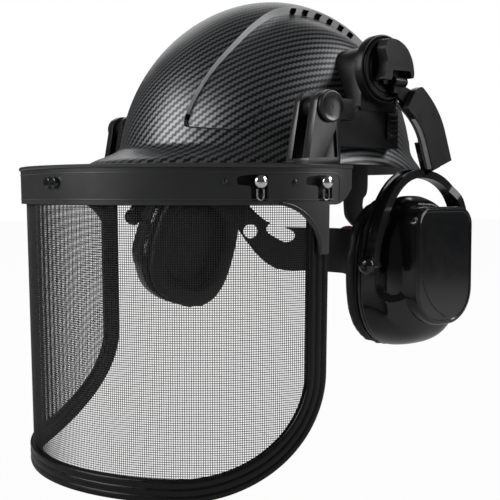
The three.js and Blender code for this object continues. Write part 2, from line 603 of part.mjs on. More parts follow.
/** The knob stands behind its coloured ring; round notches give the fingers grip. */
function ratchetKnob() {
  const { z, r, deep, draft, grips, gripR, ring } = KNOB;
  const start = knobFace + ring + GAP;
  const out = r + 0.8;
  const notch = (angle) => cylinder(gripR, deep + 2,
    [out * Math.cos(angle), start - 1, z + out * Math.sin(angle)], 'y', gripR, 12);
  return turns(grips).map(notch).reduce((knob, grip) => knob.subtract(grip),
    cylinder(r, deep, [0, start, z], 'y', r - draft, 36));
}
const knobRing = () => cylinder(KNOB.ringR, KNOB.ring, [0, knobFace, KNOB.z], 'y', KNOB.ringR, 48);

/** A crown strap over the head between two opposite keys. */
function crownStrap(heading, lift) {
  const rings = steps(24, -7, 187).map((turn) => {
    const t = degrees(turn);
    const half = STRAP.width / 2;
    return [[0, -half], [STRAP.thick, -half], [STRAP.thick, half], [0, half]].map(([grow, across]) => {
      const along = (STRAP.reach + grow) * Math.cos(t);
      const z = (STRAP.top - STRAP.centre + lift + grow) * Math.sin(t) + STRAP.centre;
      return [along * Math.cos(heading) - across * Math.sin(heading),
        along * Math.sin(heading) + across * Math.cos(heading), z];
    });
  });
  return loft(rings);
}

/** A suspension key: the block that hangs the harness from the shell at one of four corners. */
function suspensionKey(heading) {
  const [low, high] = KEY.z;
  return box([STRAP.reach + STRAP.thick + GAP, -KEY.half, low], [SHELL.b, KEY.half, high])
    .rotate([0, 0, (heading * 180) / Math.PI]).intersect(shellBlock(-SHELL.wall - GAP));
}

// ---------------------------------------------------------------- assembly
const helmet = new THREE.Group();
helmet.name = 'forestry_helmet';

/** Adds a manifold to the helmet as a named mesh. */
function add(name, body, look) {
  const mesh = body.getMesh();
  const geometry = new THREE.BufferGeometry();
  geometry.setAttribute('position', new THREE.BufferAttribute(new Float32Array(mesh.vertProperties), 3));
  geometry.setIndex(new THREE.BufferAttribute(new Uint32Array(mesh.triVerts), 1));
  geometry.computeVertexNormals();
  const part = new THREE.Mesh(geometry, look);
  part.name = name;
  helmet.add(part);
}

add('shell', shell(), SHELL_BLACK);
add('headband', headband(), SATIN_BLACK);
add('sweatband', sweatband(), FOAM_GREY);
add('nape_strap', napeStrap(), SATIN_BLACK);
add('ratchet_housing', ratchetHousing(), SATIN_BLACK);
add('ratchet_pinion', pinion(), SATIN_BLACK);
add('ratchet_knob', ratchetKnob(), SATIN_BLACK);
add('knob_ring', knobRing(), RED);

const KEY_NAMES = ['rear_left_key', 'rear_right_key', 'front_right_key', 'front_left_key'];
const corner = Math.atan2(SHELL.b, SHELL.a);
add('crown_strap_lower', crownStrap(corner, 0), SOFT_BLACK);
add('crown_strap_upper', crownStrap(Math.PI - corner, STRAP.thick + 0.6), SOFT_BLACK);
[corner, Math.PI - corner, Math.PI + corner, -corner].forEach((heading, i) =>
  add(KEY_NAMES[i], suspensionKey(heading), SATIN_BLACK));

add('brow_band', browBand(), SATIN_BLACK);
add('mesh_screen', meshScreen(), WIRE);
add('visor_trim', visorTrim(), SOFT_BLACK);
add('centre_plug', centrePlug(), GLOSS_BLACK);

const MUFF = {
  hub_disc: [hubDisc, SATIN_BLACK, 0], hub_block: [hubBlock, SATIN_BLACK, 0],
  arm_spring: [armSpring, STEEL, 0], arm_cover: [armCover, SATIN_BLACK, 0],
  yoke: [yoke, GLOSS_BLACK, 1], front_stud: [() => pivotStud(-1), GLOSS_BLACK, 1],
  rear_stud: [() => pivotStud(1), GLOSS_BLACK, 1], cup: [cupShell, GLOSS_BLACK, 1],
  cup_panel: [cupPanel, GLOSS_BLACK, 1], cup_foam: [cupFoam, FOAM_GREY, 1],
  cushion_plate: [cushionPlate, SATIN_BLACK, 1], cushion: [cushion, SOFT_BLACK, 1],
};
const SIDE = {
  visor_arm: [visorArm, SATIN_BLACK], pivot_bolt: [pivotBolt, SATIN_BLACK],
  slot_adapter: [slotAdapter, SATIN_BLACK], release_tab: [releaseTab, SATIN_BLACK],
};

/** Puts a left muff piece on the right: mirrored, pushed up its arm and turned about the hub. */
function toRight(body, slides) {
  const lift = slides * RIGHT_LIFT;
  return body.mirror([1, 0, 0]).translate([0, -footDown.x * lift, -footDown.y * lift])
    .translate([0, -HUB.y, -HUB.z]).rotate([RIGHT_TURN, 0, 0]).translate([0, HUB.y, HUB.z]);
}

for (const [name, [make, look]] of Object.entries(SIDE)) {
  add(`left_${name}`, make(), look);
  add(`right_${name}`, make().mirror([1, 0, 0]), look);
}
for (const [name, [make, look, slides]] of Object.entries(MUFF)) {
  add(`left_${name}`, make(), look);
  add(`right_${name}`, toRight(make(), slides), look);
}
BAND_STUD.places.forEach((s, i) => {
  const place = ['front', 'side'][i];
  add(`left_${place}_band_stud`, stud(s), STEEL);
  add(`right_${place}_band_stud`, stud(-s), STEEL);
  add(`left_${place}_band_clip`, clip(s), STEEL);
  add(`right_${place}_band_clip`, clip(-s), STEEL);
});

export default helmet;
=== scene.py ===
"""Looks for the forestry helmet: carbon-print shell, mesh visor, ear muffs and harness.

Lengths are in millimetres and become metres when a mesh is made. Most dimensions repeat part.mjs:
+Z up, the wearer faces -Y, the wearer's left is +X.
"""
import math

import bmesh
import bpy
import numpy as np
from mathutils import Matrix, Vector
from mathutils.geometry import delaunay_2d_cdt


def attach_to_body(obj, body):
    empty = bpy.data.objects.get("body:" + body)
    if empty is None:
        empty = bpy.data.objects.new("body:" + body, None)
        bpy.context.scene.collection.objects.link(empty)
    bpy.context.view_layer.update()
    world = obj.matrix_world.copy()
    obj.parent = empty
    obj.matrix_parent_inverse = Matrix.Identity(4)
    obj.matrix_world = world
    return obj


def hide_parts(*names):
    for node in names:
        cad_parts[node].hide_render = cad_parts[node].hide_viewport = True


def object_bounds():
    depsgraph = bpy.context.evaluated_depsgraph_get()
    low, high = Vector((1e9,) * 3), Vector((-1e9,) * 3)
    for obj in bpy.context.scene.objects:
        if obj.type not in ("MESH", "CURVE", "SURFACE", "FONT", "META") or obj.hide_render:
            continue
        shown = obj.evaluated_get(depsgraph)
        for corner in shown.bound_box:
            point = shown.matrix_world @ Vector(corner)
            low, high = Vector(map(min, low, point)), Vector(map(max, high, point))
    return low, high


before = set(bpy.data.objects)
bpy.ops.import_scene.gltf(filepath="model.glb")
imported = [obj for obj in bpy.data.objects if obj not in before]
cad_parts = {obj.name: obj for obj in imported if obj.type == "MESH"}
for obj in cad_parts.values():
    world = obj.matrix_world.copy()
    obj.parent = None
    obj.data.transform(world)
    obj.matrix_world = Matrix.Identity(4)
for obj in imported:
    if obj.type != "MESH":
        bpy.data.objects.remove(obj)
cad_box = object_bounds()
MM = 0.001
TAU = 2 * math.pi

# ------------------------------------------------------------ dimensions, most of them as in the CAD
SHELL = dict(a=107, b=123.5, h=134, lean=7, wall=3, rim=2, flare=17, flare_power=1.6)
BRIM = dict(side=5, front=27, rear=11)
VISOR = dict(a=136, b=148, y=-49, half=210, height=216, taper=0.025, taper_over=200)
CORNER = dict(s=106, z=80)
BAND = dict(height=26, inner=0.95, outer=3.9, flange=14, lip=2.5, end=228, taper_from=214)
GUSSET = dict(inner=3.35, outer=5.4, start=169, radius=32, end=208)
TRIM = dict(width=15, half=3, groove=5)
BAND_STUDS = (160, 205.5)
STUD_Z = -11.5
PIVOT = dict(y=-59, z=38, x=133.75)
HUB = dict(y=6, z=69)
FOOT = dict(y=55, z=1, slope=math.radians(20.5))
YOKE = dict(y=42.5, z=-69, half=50, rise=65, x=(115.4, 128.2), thick=6, power=2.3)
CUP = dict(y=43.5, z=-78, half=43, tall=54, rim=101, power=2.6)
PANEL = dict(half=30.5, top=-28, bottom=-113, face=148, low_r=26, high_r=13)
RIGHT_TURN = math.radians(-19)
RIGHT_LIFT = 18
HEADBAND = dict(a=78, b=92, y=-10, thick=2.2, z=6)
STRAP = dict(width=20, thick=1.4, top=94, reach=97, centre=20, step=2)
GAP = 0.35


# ------------------------------------------------------------ small maths
def smooth(t):
    t = np.clip(t, 0, 1)
    return t * t * (3 - 2 * t)


def spline(points, per_step=12):
    """A dense Catmull-Rom curve through the points."""
    p = np.array(points, float)
    p = np.vstack([2 * p[0] - p[1], p, 2 * p[-1] - p[-2]])
    t = np.arange(per_step)[:, None] / per_step
    out = [0.5 * (2 * b + (c - a) * t + (2 * a - 5 * b + 4 * c - d) * t**2
                  + (3 * b - a - 3 * c + d) * t**3)
           for a, b, c, d in zip(p, p[1:], p[2:], p[3:])]
    return np.vstack([*out, p[-2:-1]])


def super_point(angle, a, b, power):
    c, s = np.cos(angle), np.sin(angle)
    return (a * np.sign(c) * np.abs(c) ** (2 / power), b * np.sign(s) * np.abs(s) ** (2 / power))


def rounded(low, high, low_r, high_r, parts=10):
    """A rounded rectangle from its lowest corner, anticlockwise, as (u, v) points."""
    corners = [(high[0] - low_r, low[1] + low_r, low_r, -90),
               (high[0] - high_r, high[1] - high_r, high_r, 0),
               (low[0] + high_r, high[1] - high_r, high_r, 90),
               (low[0] + low_r, low[1] + low_r, low_r, 180)]
    turned = [(u, v, r, math.radians(start + turn)) for u, v, r, start in corners
              for turn in np.linspace(0, 90, parts + 1)]
    return np.array([(u + r * math.cos(t), v + r * math.sin(t)) for u, v, r, t in turned])


def softened(loop, rounds):
    """A closed loop with its corners rounded by averaging."""
    for _ in range(rounds):
        loop = (np.roll(loop, 1, 0) + 2 * loop + np.roll(loop, -1, 0)) / 4
    return loop


def resampled(loop, spacing):
    """A closed loop in even steps of about the spacing."""
    p = np.vstack([loop, loop[:1]])
    run = np.concatenate([[0], np.cumsum(np.linalg.norm(np.diff(p, axis=0), axis=1))])
    at = np.linspace(0, run[-1], max(4, int(round(run[-1] / spacing))), endpoint=False)
    return np.stack([np.interp(at, run, p[:, k]) for k in range(p.shape[1])], 1)


def grown(loop, by):
    """A closed anticlockwise loop moved outwards."""
    along = np.roll(loop, -1, 0) - np.roll(loop, 1, 0)
    normal = np.stack([along[:, 1], -along[:, 0]], 1)
    return loop + by * normal / np.linalg.norm(normal, axis=1)[:, None]


def inside(points, loop):
    """Which points lie in a closed loop."""
    x, y = points[:, 0][:, None], points[:, 1][:, None]
    a, b = loop, np.roll(loop, -1, 0)
    crosses = (a[:, 1] > y) != (b[:, 1] > y)
    with np.errstate(divide="ignore", invalid="ignore"):
        at = a[:, 0] + (y - a[:, 1]) * (b[:, 0] - a[:, 0]) / (b[:, 1] - a[:, 1])
    return (crosses & (x < at)).sum(1) % 2 == 1


def near(points, loop, reach):
    """Which points lie within reach of a loop's points."""
    parts = np.array_split(points, 1 + len(points) // 4000)
    away = [np.sqrt(((part[:, None] - loop[None]) ** 2).sum(2)).min(1) for part in parts]
    return np.concatenate(away) < reach


# ------------------------------------------------------------ surfaces
def shell_point(angle, z, grow=0.0):
    height = SHELL["h"] + grow
    dome = np.sqrt(np.maximum(0, 1 - (z / height) ** 2))
    flare = (1 - smooth((z - SHELL["rim"]) / SHELL["flare"])) ** SHELL["flare_power"]
    end = np.where(np.sin(angle) < 0, BRIM["front"], BRIM["rear"])
    reach = BRIM["side"] + (end - BRIM["side"]) * np.sin(angle) ** 2
    x = ((SHELL["a"] + grow) * dome + reach * flare) * np.cos(angle)
    y = ((SHELL["b"] + grow) * dome + reach * flare) * np.sin(angle) + SHELL["lean"] * (z / height) ** 2
    return np.stack(np.broadcast_arrays(x, y, z), -1)


ARC_STEPS = 2000
ARC = np.linspace(-math.pi, math.pi, ARC_STEPS + 1)
ARC_LENGTH = np.concatenate([[0], np.cumsum(np.hypot(
    np.diff(VISOR["a"] * np.sin(ARC)), np.diff(VISOR["b"] * np.cos(ARC))))])
ARC_LENGTH -= ARC_LENGTH[ARC_STEPS // 2]


def visor_point(s, z, out):
    """A point at arc length s from the front, height z and a distance out from the visor's surface."""
    s, z, out = np.broadcast_arrays(np.asarray(s, float), np.asarray(z, float), np.asarray(out, float))
    angle = np.interp(s, ARC_LENGTH, ARC)
    nx, ny = np.sin(angle) / VISOR["a"], -np.cos(angle) / VISOR["b"]
    size = np.hypot(nx, ny)
    narrow = 1 + VISOR["taper"] * z / VISOR["taper_over"]
    return np.stack([VISOR["a"] * np.sin(angle) * narrow + nx / size * out,
                     VISOR["y"] - VISOR["b"] * np.cos(angle) * narrow + ny / size * out, z], -1)


# ------------------------------------------------------------ materials
TOW = 1.65                      # width of one tow of the printed twill
FIBRES = 4                      # streaks along one tow
RIB_SCALE = 31.4                # wave scale of woven ribs, times their pitch


def new_material(name):
    material = bpy.data.materials.new(name)
    material.use_nodes = True
    return material, material.node_tree, material.node_tree.nodes["Principled BSDF"]


def feed(tree, node, values):
    """Gives a node's inputs numbers, colours or the outputs of other nodes."""
    for key, value in dict(values).items():
        socket = node.inputs[key]
        if isinstance(value, bpy.types.NodeSocket):
            tree.links.new(value, socket)
        else:
            socket.default_value = (*value, 1) if socket.type == "RGBA" else value


def add(tree, kind, values=(), out=0, **settings):
    """Adds a node and returns one of its outputs."""
    node = tree.nodes.new("ShaderNode" + kind)
    for name, value in settings.items():
        setattr(node, name, value)
    feed(tree, node, values)
    return node.outputs[out]


def calc(tree, operation, *values):
    return add(tree, "Math", enumerate(values), operation=operation)


def blend(tree, factor, low, high):
    return add(tree, "Mix", {0: factor, 6: low, 7: high}, 2, data_type="RGBA")


def remap(tree, value, low, high, to_low, to_high):
    return add(tree, "MapRange", enumerate((value, low, high, to_low, to_high)))


def noise(tree, scale, detail, stretch=None):
    """Noise by place on the object, in cells per metre."""
    place = add(tree, "TexCoord", out="Object")
    if stretch:
        place = add(tree, "Mapping", {"Vector": place, "Scale": stretch})
    return add(tree, "TexNoise", {"Scale": scale, "Detail": detail, "Vector": place}, "Fac")


def cloud(tree, scale, detail, low, high):
    """Noise spread over a range of values."""
    return remap(tree, noise(tree, scale, detail), 0.3, 0.7, low, high)


def bump(tree, height, strength, distance):
    return add(tree, "Bump", {"Strength": strength, "Distance": distance * MM, "Height": height})


def shades(color, *factors):
    return [tuple(c * factor for c in color) for factor in factors]


def moulded(name, color, rough, *, metal=0.0, coat=0.0, coat_rough=0.1, specular=0.5, grain=900,
            depth=0.05, mottle=0.12, spread=0.08, wear_and_highlight=0.25, stretch=None):
    """A moulded or drawn surface: fine grain, colour and gloss that vary, and edges lightened by Pointiness,
    partly as rubbed wear and partly as a painted highlight.
    """
    material, tree, shader = new_material(name)
    body = blend(tree, cloud(tree, 38, 4, 0, 1), *shades(color, 1 - mottle, 1 + mottle))
    # Pointiness lightens the edges: partly rubbed wear, partly a painted highlight where edges catch the
    # light
    edge = remap(tree, add(tree, "NewGeometry", out="Pointiness"), 0.52, 0.62, 0, wear_and_highlight)
    rubbed_and_highlit = tuple(min(1, c * 1.6 + 0.03) for c in color)
    feed(tree, shader, {"Base Color": blend(tree, edge, body, rubbed_and_highlit),
                        "Roughness": cloud(tree, 120, 5, rough - spread, rough + spread),
                        "Metallic": metal, "Specular IOR Level": specular,
                        "Coat Weight": coat, "Coat Roughness": coat_rough})
    if depth:
        fine = noise(tree, grain, 2, stretch)
        feed(tree, shader, {"Normal": bump(tree, fine, 0.5, depth)})
    return material


def carbon_print(name):
    """Twill of satin and black cells under gloss lacquer, laid out by the weave map in millimetres."""
    material, tree, shader = new_material(name)
    place = add(tree, "UVMap", uv_map="weave")
    along, across = (add(tree, "SeparateXYZ", {0: place}, axis) for axis in "XY")

    def op(*args):
        return calc(tree, *args)

    warp = op("DIVIDE", op("ADD", along, across), TOW * math.sqrt(2))
    weft = op("DIVIDE", op("SUBTRACT", along, across), TOW * math.sqrt(2))
    step = op("SUBTRACT", op("FLOOR", warp), op("FLOOR", weft))
    over = op("LESS_THAN", op("FLOORED_MODULO", step, 4), 2)
    down, level = (op("SINE", op("MULTIPLY", way, TAU * FIBRES)) for way in (warp, weft))
    fibre = op("ADD", op("MULTIPLY", down, over), op("MULTIPLY", level, op("SUBTRACT", 1, over)))
    shade = op("MULTIPLY", op("ADD", over, op("MULTIPLY", fibre, 0.07)), cloud(tree, 30, 3, 0.86, 1.14))
    feed(tree, shader, {"Base Color": blend(tree, shade, (0.004, 0.0043, 0.005), (0.18, 0.183, 0.19)),
                        "Roughness": remap(tree, over, 0, 1, 0.3, 0.42),
                        "Metallic": remap(tree, over, 0, 1, 0.0, 0.72),
                        "Normal": bump(tree, fibre, 0.25, 0.03), "Specular IOR Level": 0.3,
                        "Coat Weight": 0.12, "Coat Roughness": 0.22})
    return material


def woven(name, color, rough, pitch, sheen=0.3):
    """Cloth or webbing: crossed ribs of thread with lint-like noise."""
    material, tree, shader = new_material(name)
    wave = {"Vector": add(tree, "TexCoord", out="Object"), "Scale": RIB_SCALE / pitch, "Distortion": 0.6}
    x, y, z = (add(tree, "TexWave", wave, "Fac", bands_direction=axis) for axis in "XYZ")
    weave = calc(tree, "MULTIPLY", z, calc(tree, "ADD", x, y))
    height = calc(tree, "ADD", weave, noise(tree, 1500, 2))
    factor = remap(tree, height, 0.2, 1.6, 0, 1)
    feed(tree, shader, {"Base Color": blend(tree, factor, *shades(color, 0.55, 1.35)), "Roughness": rough,
                        "Sheen Weight": sheen, "Normal": bump(tree, height, 0.6, 0.25)})
    return material


def cellular(name, color, rough, cell, depth):
    """Open-cell foam or vinyl grain, from cells of a size in millimetres."""
    material, tree, shader = new_material(name)
    place = add(tree, "TexCoord", out="Object")
    pit = add(tree, "TexVoronoi", {"Scale": 1 / (cell * MM), "Vector": place}, "Distance")
    factor = remap(tree, pit, 0.1, 0.7, 0, 1)
    feed(tree, shader, {"Base Color": blend(tree, factor, *shades(color, 0.6, 1.2)),
                        "Roughness": cloud(tree, 200, 4, rough - 0.08, rough + 0.08),
                        "Normal": bump(tree, pit, 0.7, depth)})
    return material


LOOK = {
    "carbon": carbon_print("carbon_print"),
    # light grey: partly the strip's own satin grey, partly a painted highlight of faces that catch the light
    "wall": moulded("grey_wall_and_painted_highlight", (0.6, 0.605, 0.61), 0.46, metal=0.4, grain=1600, depth=0.05),
    # painted shade: the near-black of the vents and of the line under each pocket's step
    "vent": moulded("vent_painted_shade", (0.008, 0.008, 0.009), 0.7),
    "inside": moulded("shell_inside", (0.014, 0.014, 0.015), 0.5, depth=0.08),
    "satin": moulded("satin_nylon", (0.0085, 0.0087, 0.0095), 0.3, coat=0.25, coat_rough=0.24, spread=0.03,
                     grain=1400, depth=0.03),
    "band": moulded("band_nylon", (0.03, 0.0305, 0.032), 0.32, coat=0.3, coat_rough=0.22, spread=0.03,
                    grain=1400, depth=0.03),
    "dark": moulded("dark_nylon", (0.004, 0.004, 0.0046), 0.38, specular=0.28, grain=1400, depth=0.03),
    "gloss": moulded("gloss_black", (0.008, 0.0083, 0.0095), 0.16, coat=0.5, coat_rough=0.06,
                     grain=500, depth=0.012, spread=0.04, wear_and_highlight=0.15),
    "thread": moulded("screen_thread", (0.02, 0.02, 0.022), 0.45, grain=3000, depth=0.0),
    "rubber": moulded("trim_rubber", (0.004, 0.004, 0.0043), 0.3, specular=0.35, grain=1800, depth=0.04),
    "harness": moulded("harness_plastic", (0.014, 0.014, 0.015), 0.45, grain=1200, depth=0.06),
    "red": moulded("ring_orange", (0.55, 0.085, 0.02), 0.38, grain=900, depth=0.03),
    "chrome": moulded("chrome", (0.82, 0.82, 0.84), 0.12, metal=1.0, grain=300, depth=0.004,
                      mottle=0.04, spread=0.05, wear_and_highlight=0.0),
    "clip": moulded("clip_steel", (0.36, 0.36, 0.37), 0.34, metal=1.0, grain=1500, depth=0.02),
    "spring": moulded("spring_steel", (0.14, 0.142, 0.15), 0.24, metal=1.0, grain=1400, depth=0.02,
                      stretch=(1, 1, 0.06), spread=0.1, wear_and_highlight=0.0),
    "webbing": woven("webbing", (0.03, 0.03, 0.032), 0.85, 1.2),
    "brushed": woven("sweatband_cloth", (0.07, 0.07, 0.075), 0.95, 0.9, sheen=0.5),
    "foam": cellular("acoustic_foam", (0.06, 0.06, 0.063), 0.95, 1.1, 0.6),
    "vinyl": cellular("cushion_vinyl", (0.014, 0.014, 0.015), 0.42, 0.9, 0.12),
}
# Slots with their looks.
GLOSS = ("gloss_plastic", "gloss")
SATIN = ("satin_plastic", "satin")
DARK = ("satin_plastic", "dark")
HARNESS = ("harness_plastic", "harness")


# ------------------------------------------------------------ making pieces
RIGHT = np.array([-1, 1, 1])
DOWN = np.array([0, math.sin(FOOT["slope"]), -math.cos(FOOT["slope"])])


def placed(points, side, how):
    """Points of a left piece, or of its twin: how is fixed, turns with the hub, or slides too."""
    p = np.array(points, float)
    if side == "left":
        return p
    p = p * RIGHT
    if how == "fixed":
        return p
    if how == "slides":
        p = p - DOWN * RIGHT_LIFT
    y, z = p[:, 1] - HUB["y"], p[:, 2] - HUB["z"]
    c, s = math.cos(RIGHT_TURN), math.sin(RIGHT_TURN)
    return np.stack([p[:, 0], y * c - z * s + HUB["y"], y * s + z * c + HUB["z"]], 1)


def finish_mesh(bm, name, materials, sharp):
    bmesh.ops.recalc_face_normals(bm, faces=bm.faces)
    for face in bm.faces:
        face.smooth = True
    mesh = bpy.data.meshes.new(name)
    bm.to_mesh(mesh)
    bm.free()
    mesh.set_sharp_from_angle(angle=math.radians(sharp))
    for material in materials:
        mesh.materials.append(LOOK[material])
    obj = bpy.data.objects.new(name, mesh)
    bpy.context.scene.collection.objects.link(obj)
    return obj


def new_bmesh(points, faces):
    bm = bmesh.new()
    made = [bm.verts.new(p) for p in np.asarray(points, float) * MM]
    for face in faces:
        bm.faces.new([made[i] for i in face])
    return bm


def round_edges(bm, by, sharp):
    """Bevels the edges that turn by more than sharp degrees."""
    edges = [e for e in bm.edges if e.is_manifold and e.calc_face_angle() > math.radians(sharp)]
    bmesh.ops.bevel(bm, geom=edges, offset=by * MM, segments=2, profile=0.5,
                    affect="EDGES", clamp_overlap=True)


def piece(name, points, faces, body, slot, *materials, nodes=(), sharp=35, bevel=0.0):
    """A mesh piece that rides on a body. bevel rounds its sharp edges by that many millimetres."""
    bm = new_bmesh(points, faces)
    if bevel:
        round_edges(bm, bevel, sharp)
    return attach(finish_mesh(bm, name, materials, sharp), body, nodes)


def attach(obj, body, nodes=()):
    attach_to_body(obj, body)
    if nodes:
        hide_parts(*nodes)
    return obj


def refined(node, body, slot, look, bevel=0.6, sharp=30, tuck=0.0):
    """A CAD node's own shape with rounded edges and smooth curves, drawn in towards the Z axis by tuck."""
    bm = bmesh.new()
    bm.from_mesh(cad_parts[node].data)
    bmesh.ops.remove_doubles(bm, verts=bm.verts, dist=1e-6)
    bmesh.ops.dissolve_limit(bm, angle_limit=math.radians(1), verts=bm.verts, edges=bm.edges)
    round_edges(bm, bevel, sharp)
    for vert in bm.verts:
        vert.co.xy *= 1 - tuck * MM / max(vert.co.xy.length, tuck * MM)
    for face in bm.faces:
        face.material_index = 0
    return attach(finish_mesh(bm, node + "_fine", [look], sharp), body, [node])


def joined_rings(rings, loop=False, caps=True):
    """Vertices and faces of a skin over equal closed rings."""
    rings = np.asarray(rings, float)
    count, size = rings.shape[:2]
    faces = []
    for r in range(count if loop else count - 1):
        a, b = r * size, (r + 1) % count * size
        faces += [(a + i, a + (i + 1) % size, b + (i + 1) % size, b + i) for i in range(size)]
    if caps and not loop:
        faces += [tuple(range(size)), tuple(range((count - 1) * size, count * size))]
    return rings.reshape(-1, 3), faces


def merged(*parts):
    """Several (points, faces) as one."""
    points, faces, start = [], [], 0
    for p, f in parts:
        points.append(np.asarray(p, float))
        faces += [tuple(i + start for i in face) for face in f]
        start += len(p)
    return np.vstack(points), faces


def lathe(profile, axis, centre, segments=56):
    """A turned shape from (along, radius) points round an X or Y axis; centre gives the axis."""
    turn = np.arange(segments) * TAU / segments
    rings = []
    for along, r in profile:
        first, second = centre[0] + max(r, 0.01) * np.cos(turn), centre[1] + max(r, 0.01) * np.sin(turn)
        flat = np.full(segments, along)
        rings.append(np.stack([flat, first, second] if axis == "x" else [first, flat, second], 1))
    return joined_rings(rings)


# How the right twin of a body's pieces is placed; all others are fixed.
HOW = {"{}_hub": "turns", "{}_arm": "turns", "{}_yoke": "slides", "{}_cup": "slides"}


def both(name, shape, body, slot, *materials, nodes=(), **options):
    """A piece on the left and its twin on the right; nodes and body may hold {}."""
    points, faces = shape
    how = HOW.get(body, "fixed")
    return [piece(f"{side}_{name}", placed(points, side, how), faces, body.format(side), slot, *materials,
                  nodes=[n.format(side) for n in nodes], **options) for side in ("left", "right")]


def bead(path, r, sides=6):
    """A thin round bar along a path."""
    p = np.asarray(path, float)
    along = np.gradient(p, axis=0)
    along /= np.linalg.norm(along, axis=1)[:, None]
    side = np.cross(along, [0.31, 0.23, 0.92])
    side /= np.linalg.norm(side, axis=1)[:, None]
    up = np.cross(along, side)
    turn = np.arange(sides) * TAU / sides
    c, s = np.cos(turn)[None, :, None], np.sin(turn)[None, :, None]
    rings = p[:, None] + r * (c * side[:, None] + s * up[:, None])
    return joined_rings(rings)


def meshed(points, loops):
    """Triangles over flat points that keep closed loops as edges.

    The last result tells which given point each of the mesh's points was, or -1.
    """
    edges, start = [], len(points)
    for loop in loops:
        edges += [(start + i, start + (i + 1) % len(loop)) for i in range(len(loop))]
        start += len(loop)
    flat = [Vector(p) for p in np.vstack([points, *loops])]
    verts, _, tris, origin, _, _ = delaunay_2d_cdt(flat, edges, [], 0, 1e-5)
    places = np.array([tuple(v) for v in verts])
    return places, [tuple(t) for t in tris], [o[0] if o else -1 for o in origin]


# ------------------------------------------------------------ shell
# Half width of the raised centre ridge, by the angle from the front rim over the crown (degrees).
RIDGE = spline([(0, 39.5), (16, 40.5), (30, 43.5), (48, 47), (62, 44.8), (83, 37.5), (104, 45),
                (125, 49), (150, 46.5), (180, 42)])
POCKET_FADE = 38                # the side pockets run out this far from the ridge
UNROLL = 120                    # radius used to lay the dome out flat
WEAVE = dict(around=84, down=118)      # radii that lay the twill out along its two diagonals
GRID = dict(rings=92, rim=420, spacing=1.75, clear=1.15, radius=112)
LEVELS = ((0.0, 0.0), (0.25, 0.2), (0.6, 0.8),
          (0.9, 1.0))    # the pocket's wall: inwards, share of its depth
VENT_LOW = 37                   # the ridge's wall shows above this height
VENT_DEPTH = 3.2
VENTS = [(83.5 + 5.4 * k, 86.0 + 5.4 * k) for k in range(6)]


def ridge_angle(p):
    return np.degrees(np.arctan2(p[:, 2], -(p[:, 1] - SHELL["lean"] * (p[:, 2] / SHELL["h"]) ** 2)))


def pocket_depth(p):
    """How far the side panel lies below the ridge's level."""
    angle = ridge_angle(p)
    away = np.abs(p[:, 0]) - np.interp(angle, RIDGE[:, 0], RIDGE[:, 1])
    deepest = 3.4 + 2.2 * smooth((angle - 20) / 60) * smooth((170 - angle) / 60)
    return deepest * (1 - smooth(away / POCKET_FADE))


def flat_place(angle, z):
    rho = UNROLL * np.arccos(z / SHELL["h"])
    return np.stack([rho * np.cos(angle), rho * np.sin(angle)], -1)


def dome_place(flat):
    rho = np.hypot(flat[:, 0], flat[:, 1])
    return np.arctan2(flat[:, 1], flat[:, 0]), SHELL["h"] * np.cos(rho / UNROLL)


def pocket_loop():
    """The left side pocket's outline on the flat layout, anticlockwise."""
    turn = np.radians(np.linspace(15.6, 164.4, 300))
    x = np.interp(np.degrees(turn), RIDGE[:, 0], RIDGE[:, 1])
    across = 1 - (x / SHELL["a"]) ** 2
    r = np.sqrt(across / ((np.cos(turn) / SHELL["b"]) ** 2 + (np.sin(turn) / SHELL["h"]) ** 2))
    y, z = -r * np.cos(turn), r * np.sin(turn)
    ridge = flat_place(np.arctan2(y / SHELL["b"], x / SHELL["a"]), z)
    first, last = (math.atan2(k[1], k[0]) for k in (ridge[-1], ridge[0]))
    angle = np.linspace(first, last, 300)
    low = 27.8 - 0.12 * (SHELL["a"] * np.cos(angle) - 42)
    return softened(resampled(np.vstack([ridge, flat_place(angle, low)[1:-1]]), 1.1), 10)[::-1]


def weave_map(p):
    """Distance along and across the twill's diagonals, in millimetres."""
    radius = np.linalg.norm(p, axis=1)
    up = (p[:, 2] - p[:, 0]) / math.sqrt(2)
    out = (p[:, 2] + p[:, 0]) / math.sqrt(2)
    polar = np.arccos(np.clip(up / radius, -1, 1))
    return np.stack([WEAVE["around"] * np.arctan2(p[:, 1], out), WEAVE["down"] * polar], 1)


def dropped(p):
    """The shell's rim dips towards the neck."""
    p = p.copy()
    p[:, 2] -= 2.5 * smooth((p[:, 1] - 8) / 55) * (1 - smooth((p[:, 2] - SHELL["rim"]) / 22))
    return p


def on_shell(x, z, grow):
    dome = math.sqrt(1 - (z / (SHELL["h"] + grow)) ** 2)
    return shell_point(-math.acos(min(1, x / ((SHELL["a"] + grow) * dome))), z, grow)


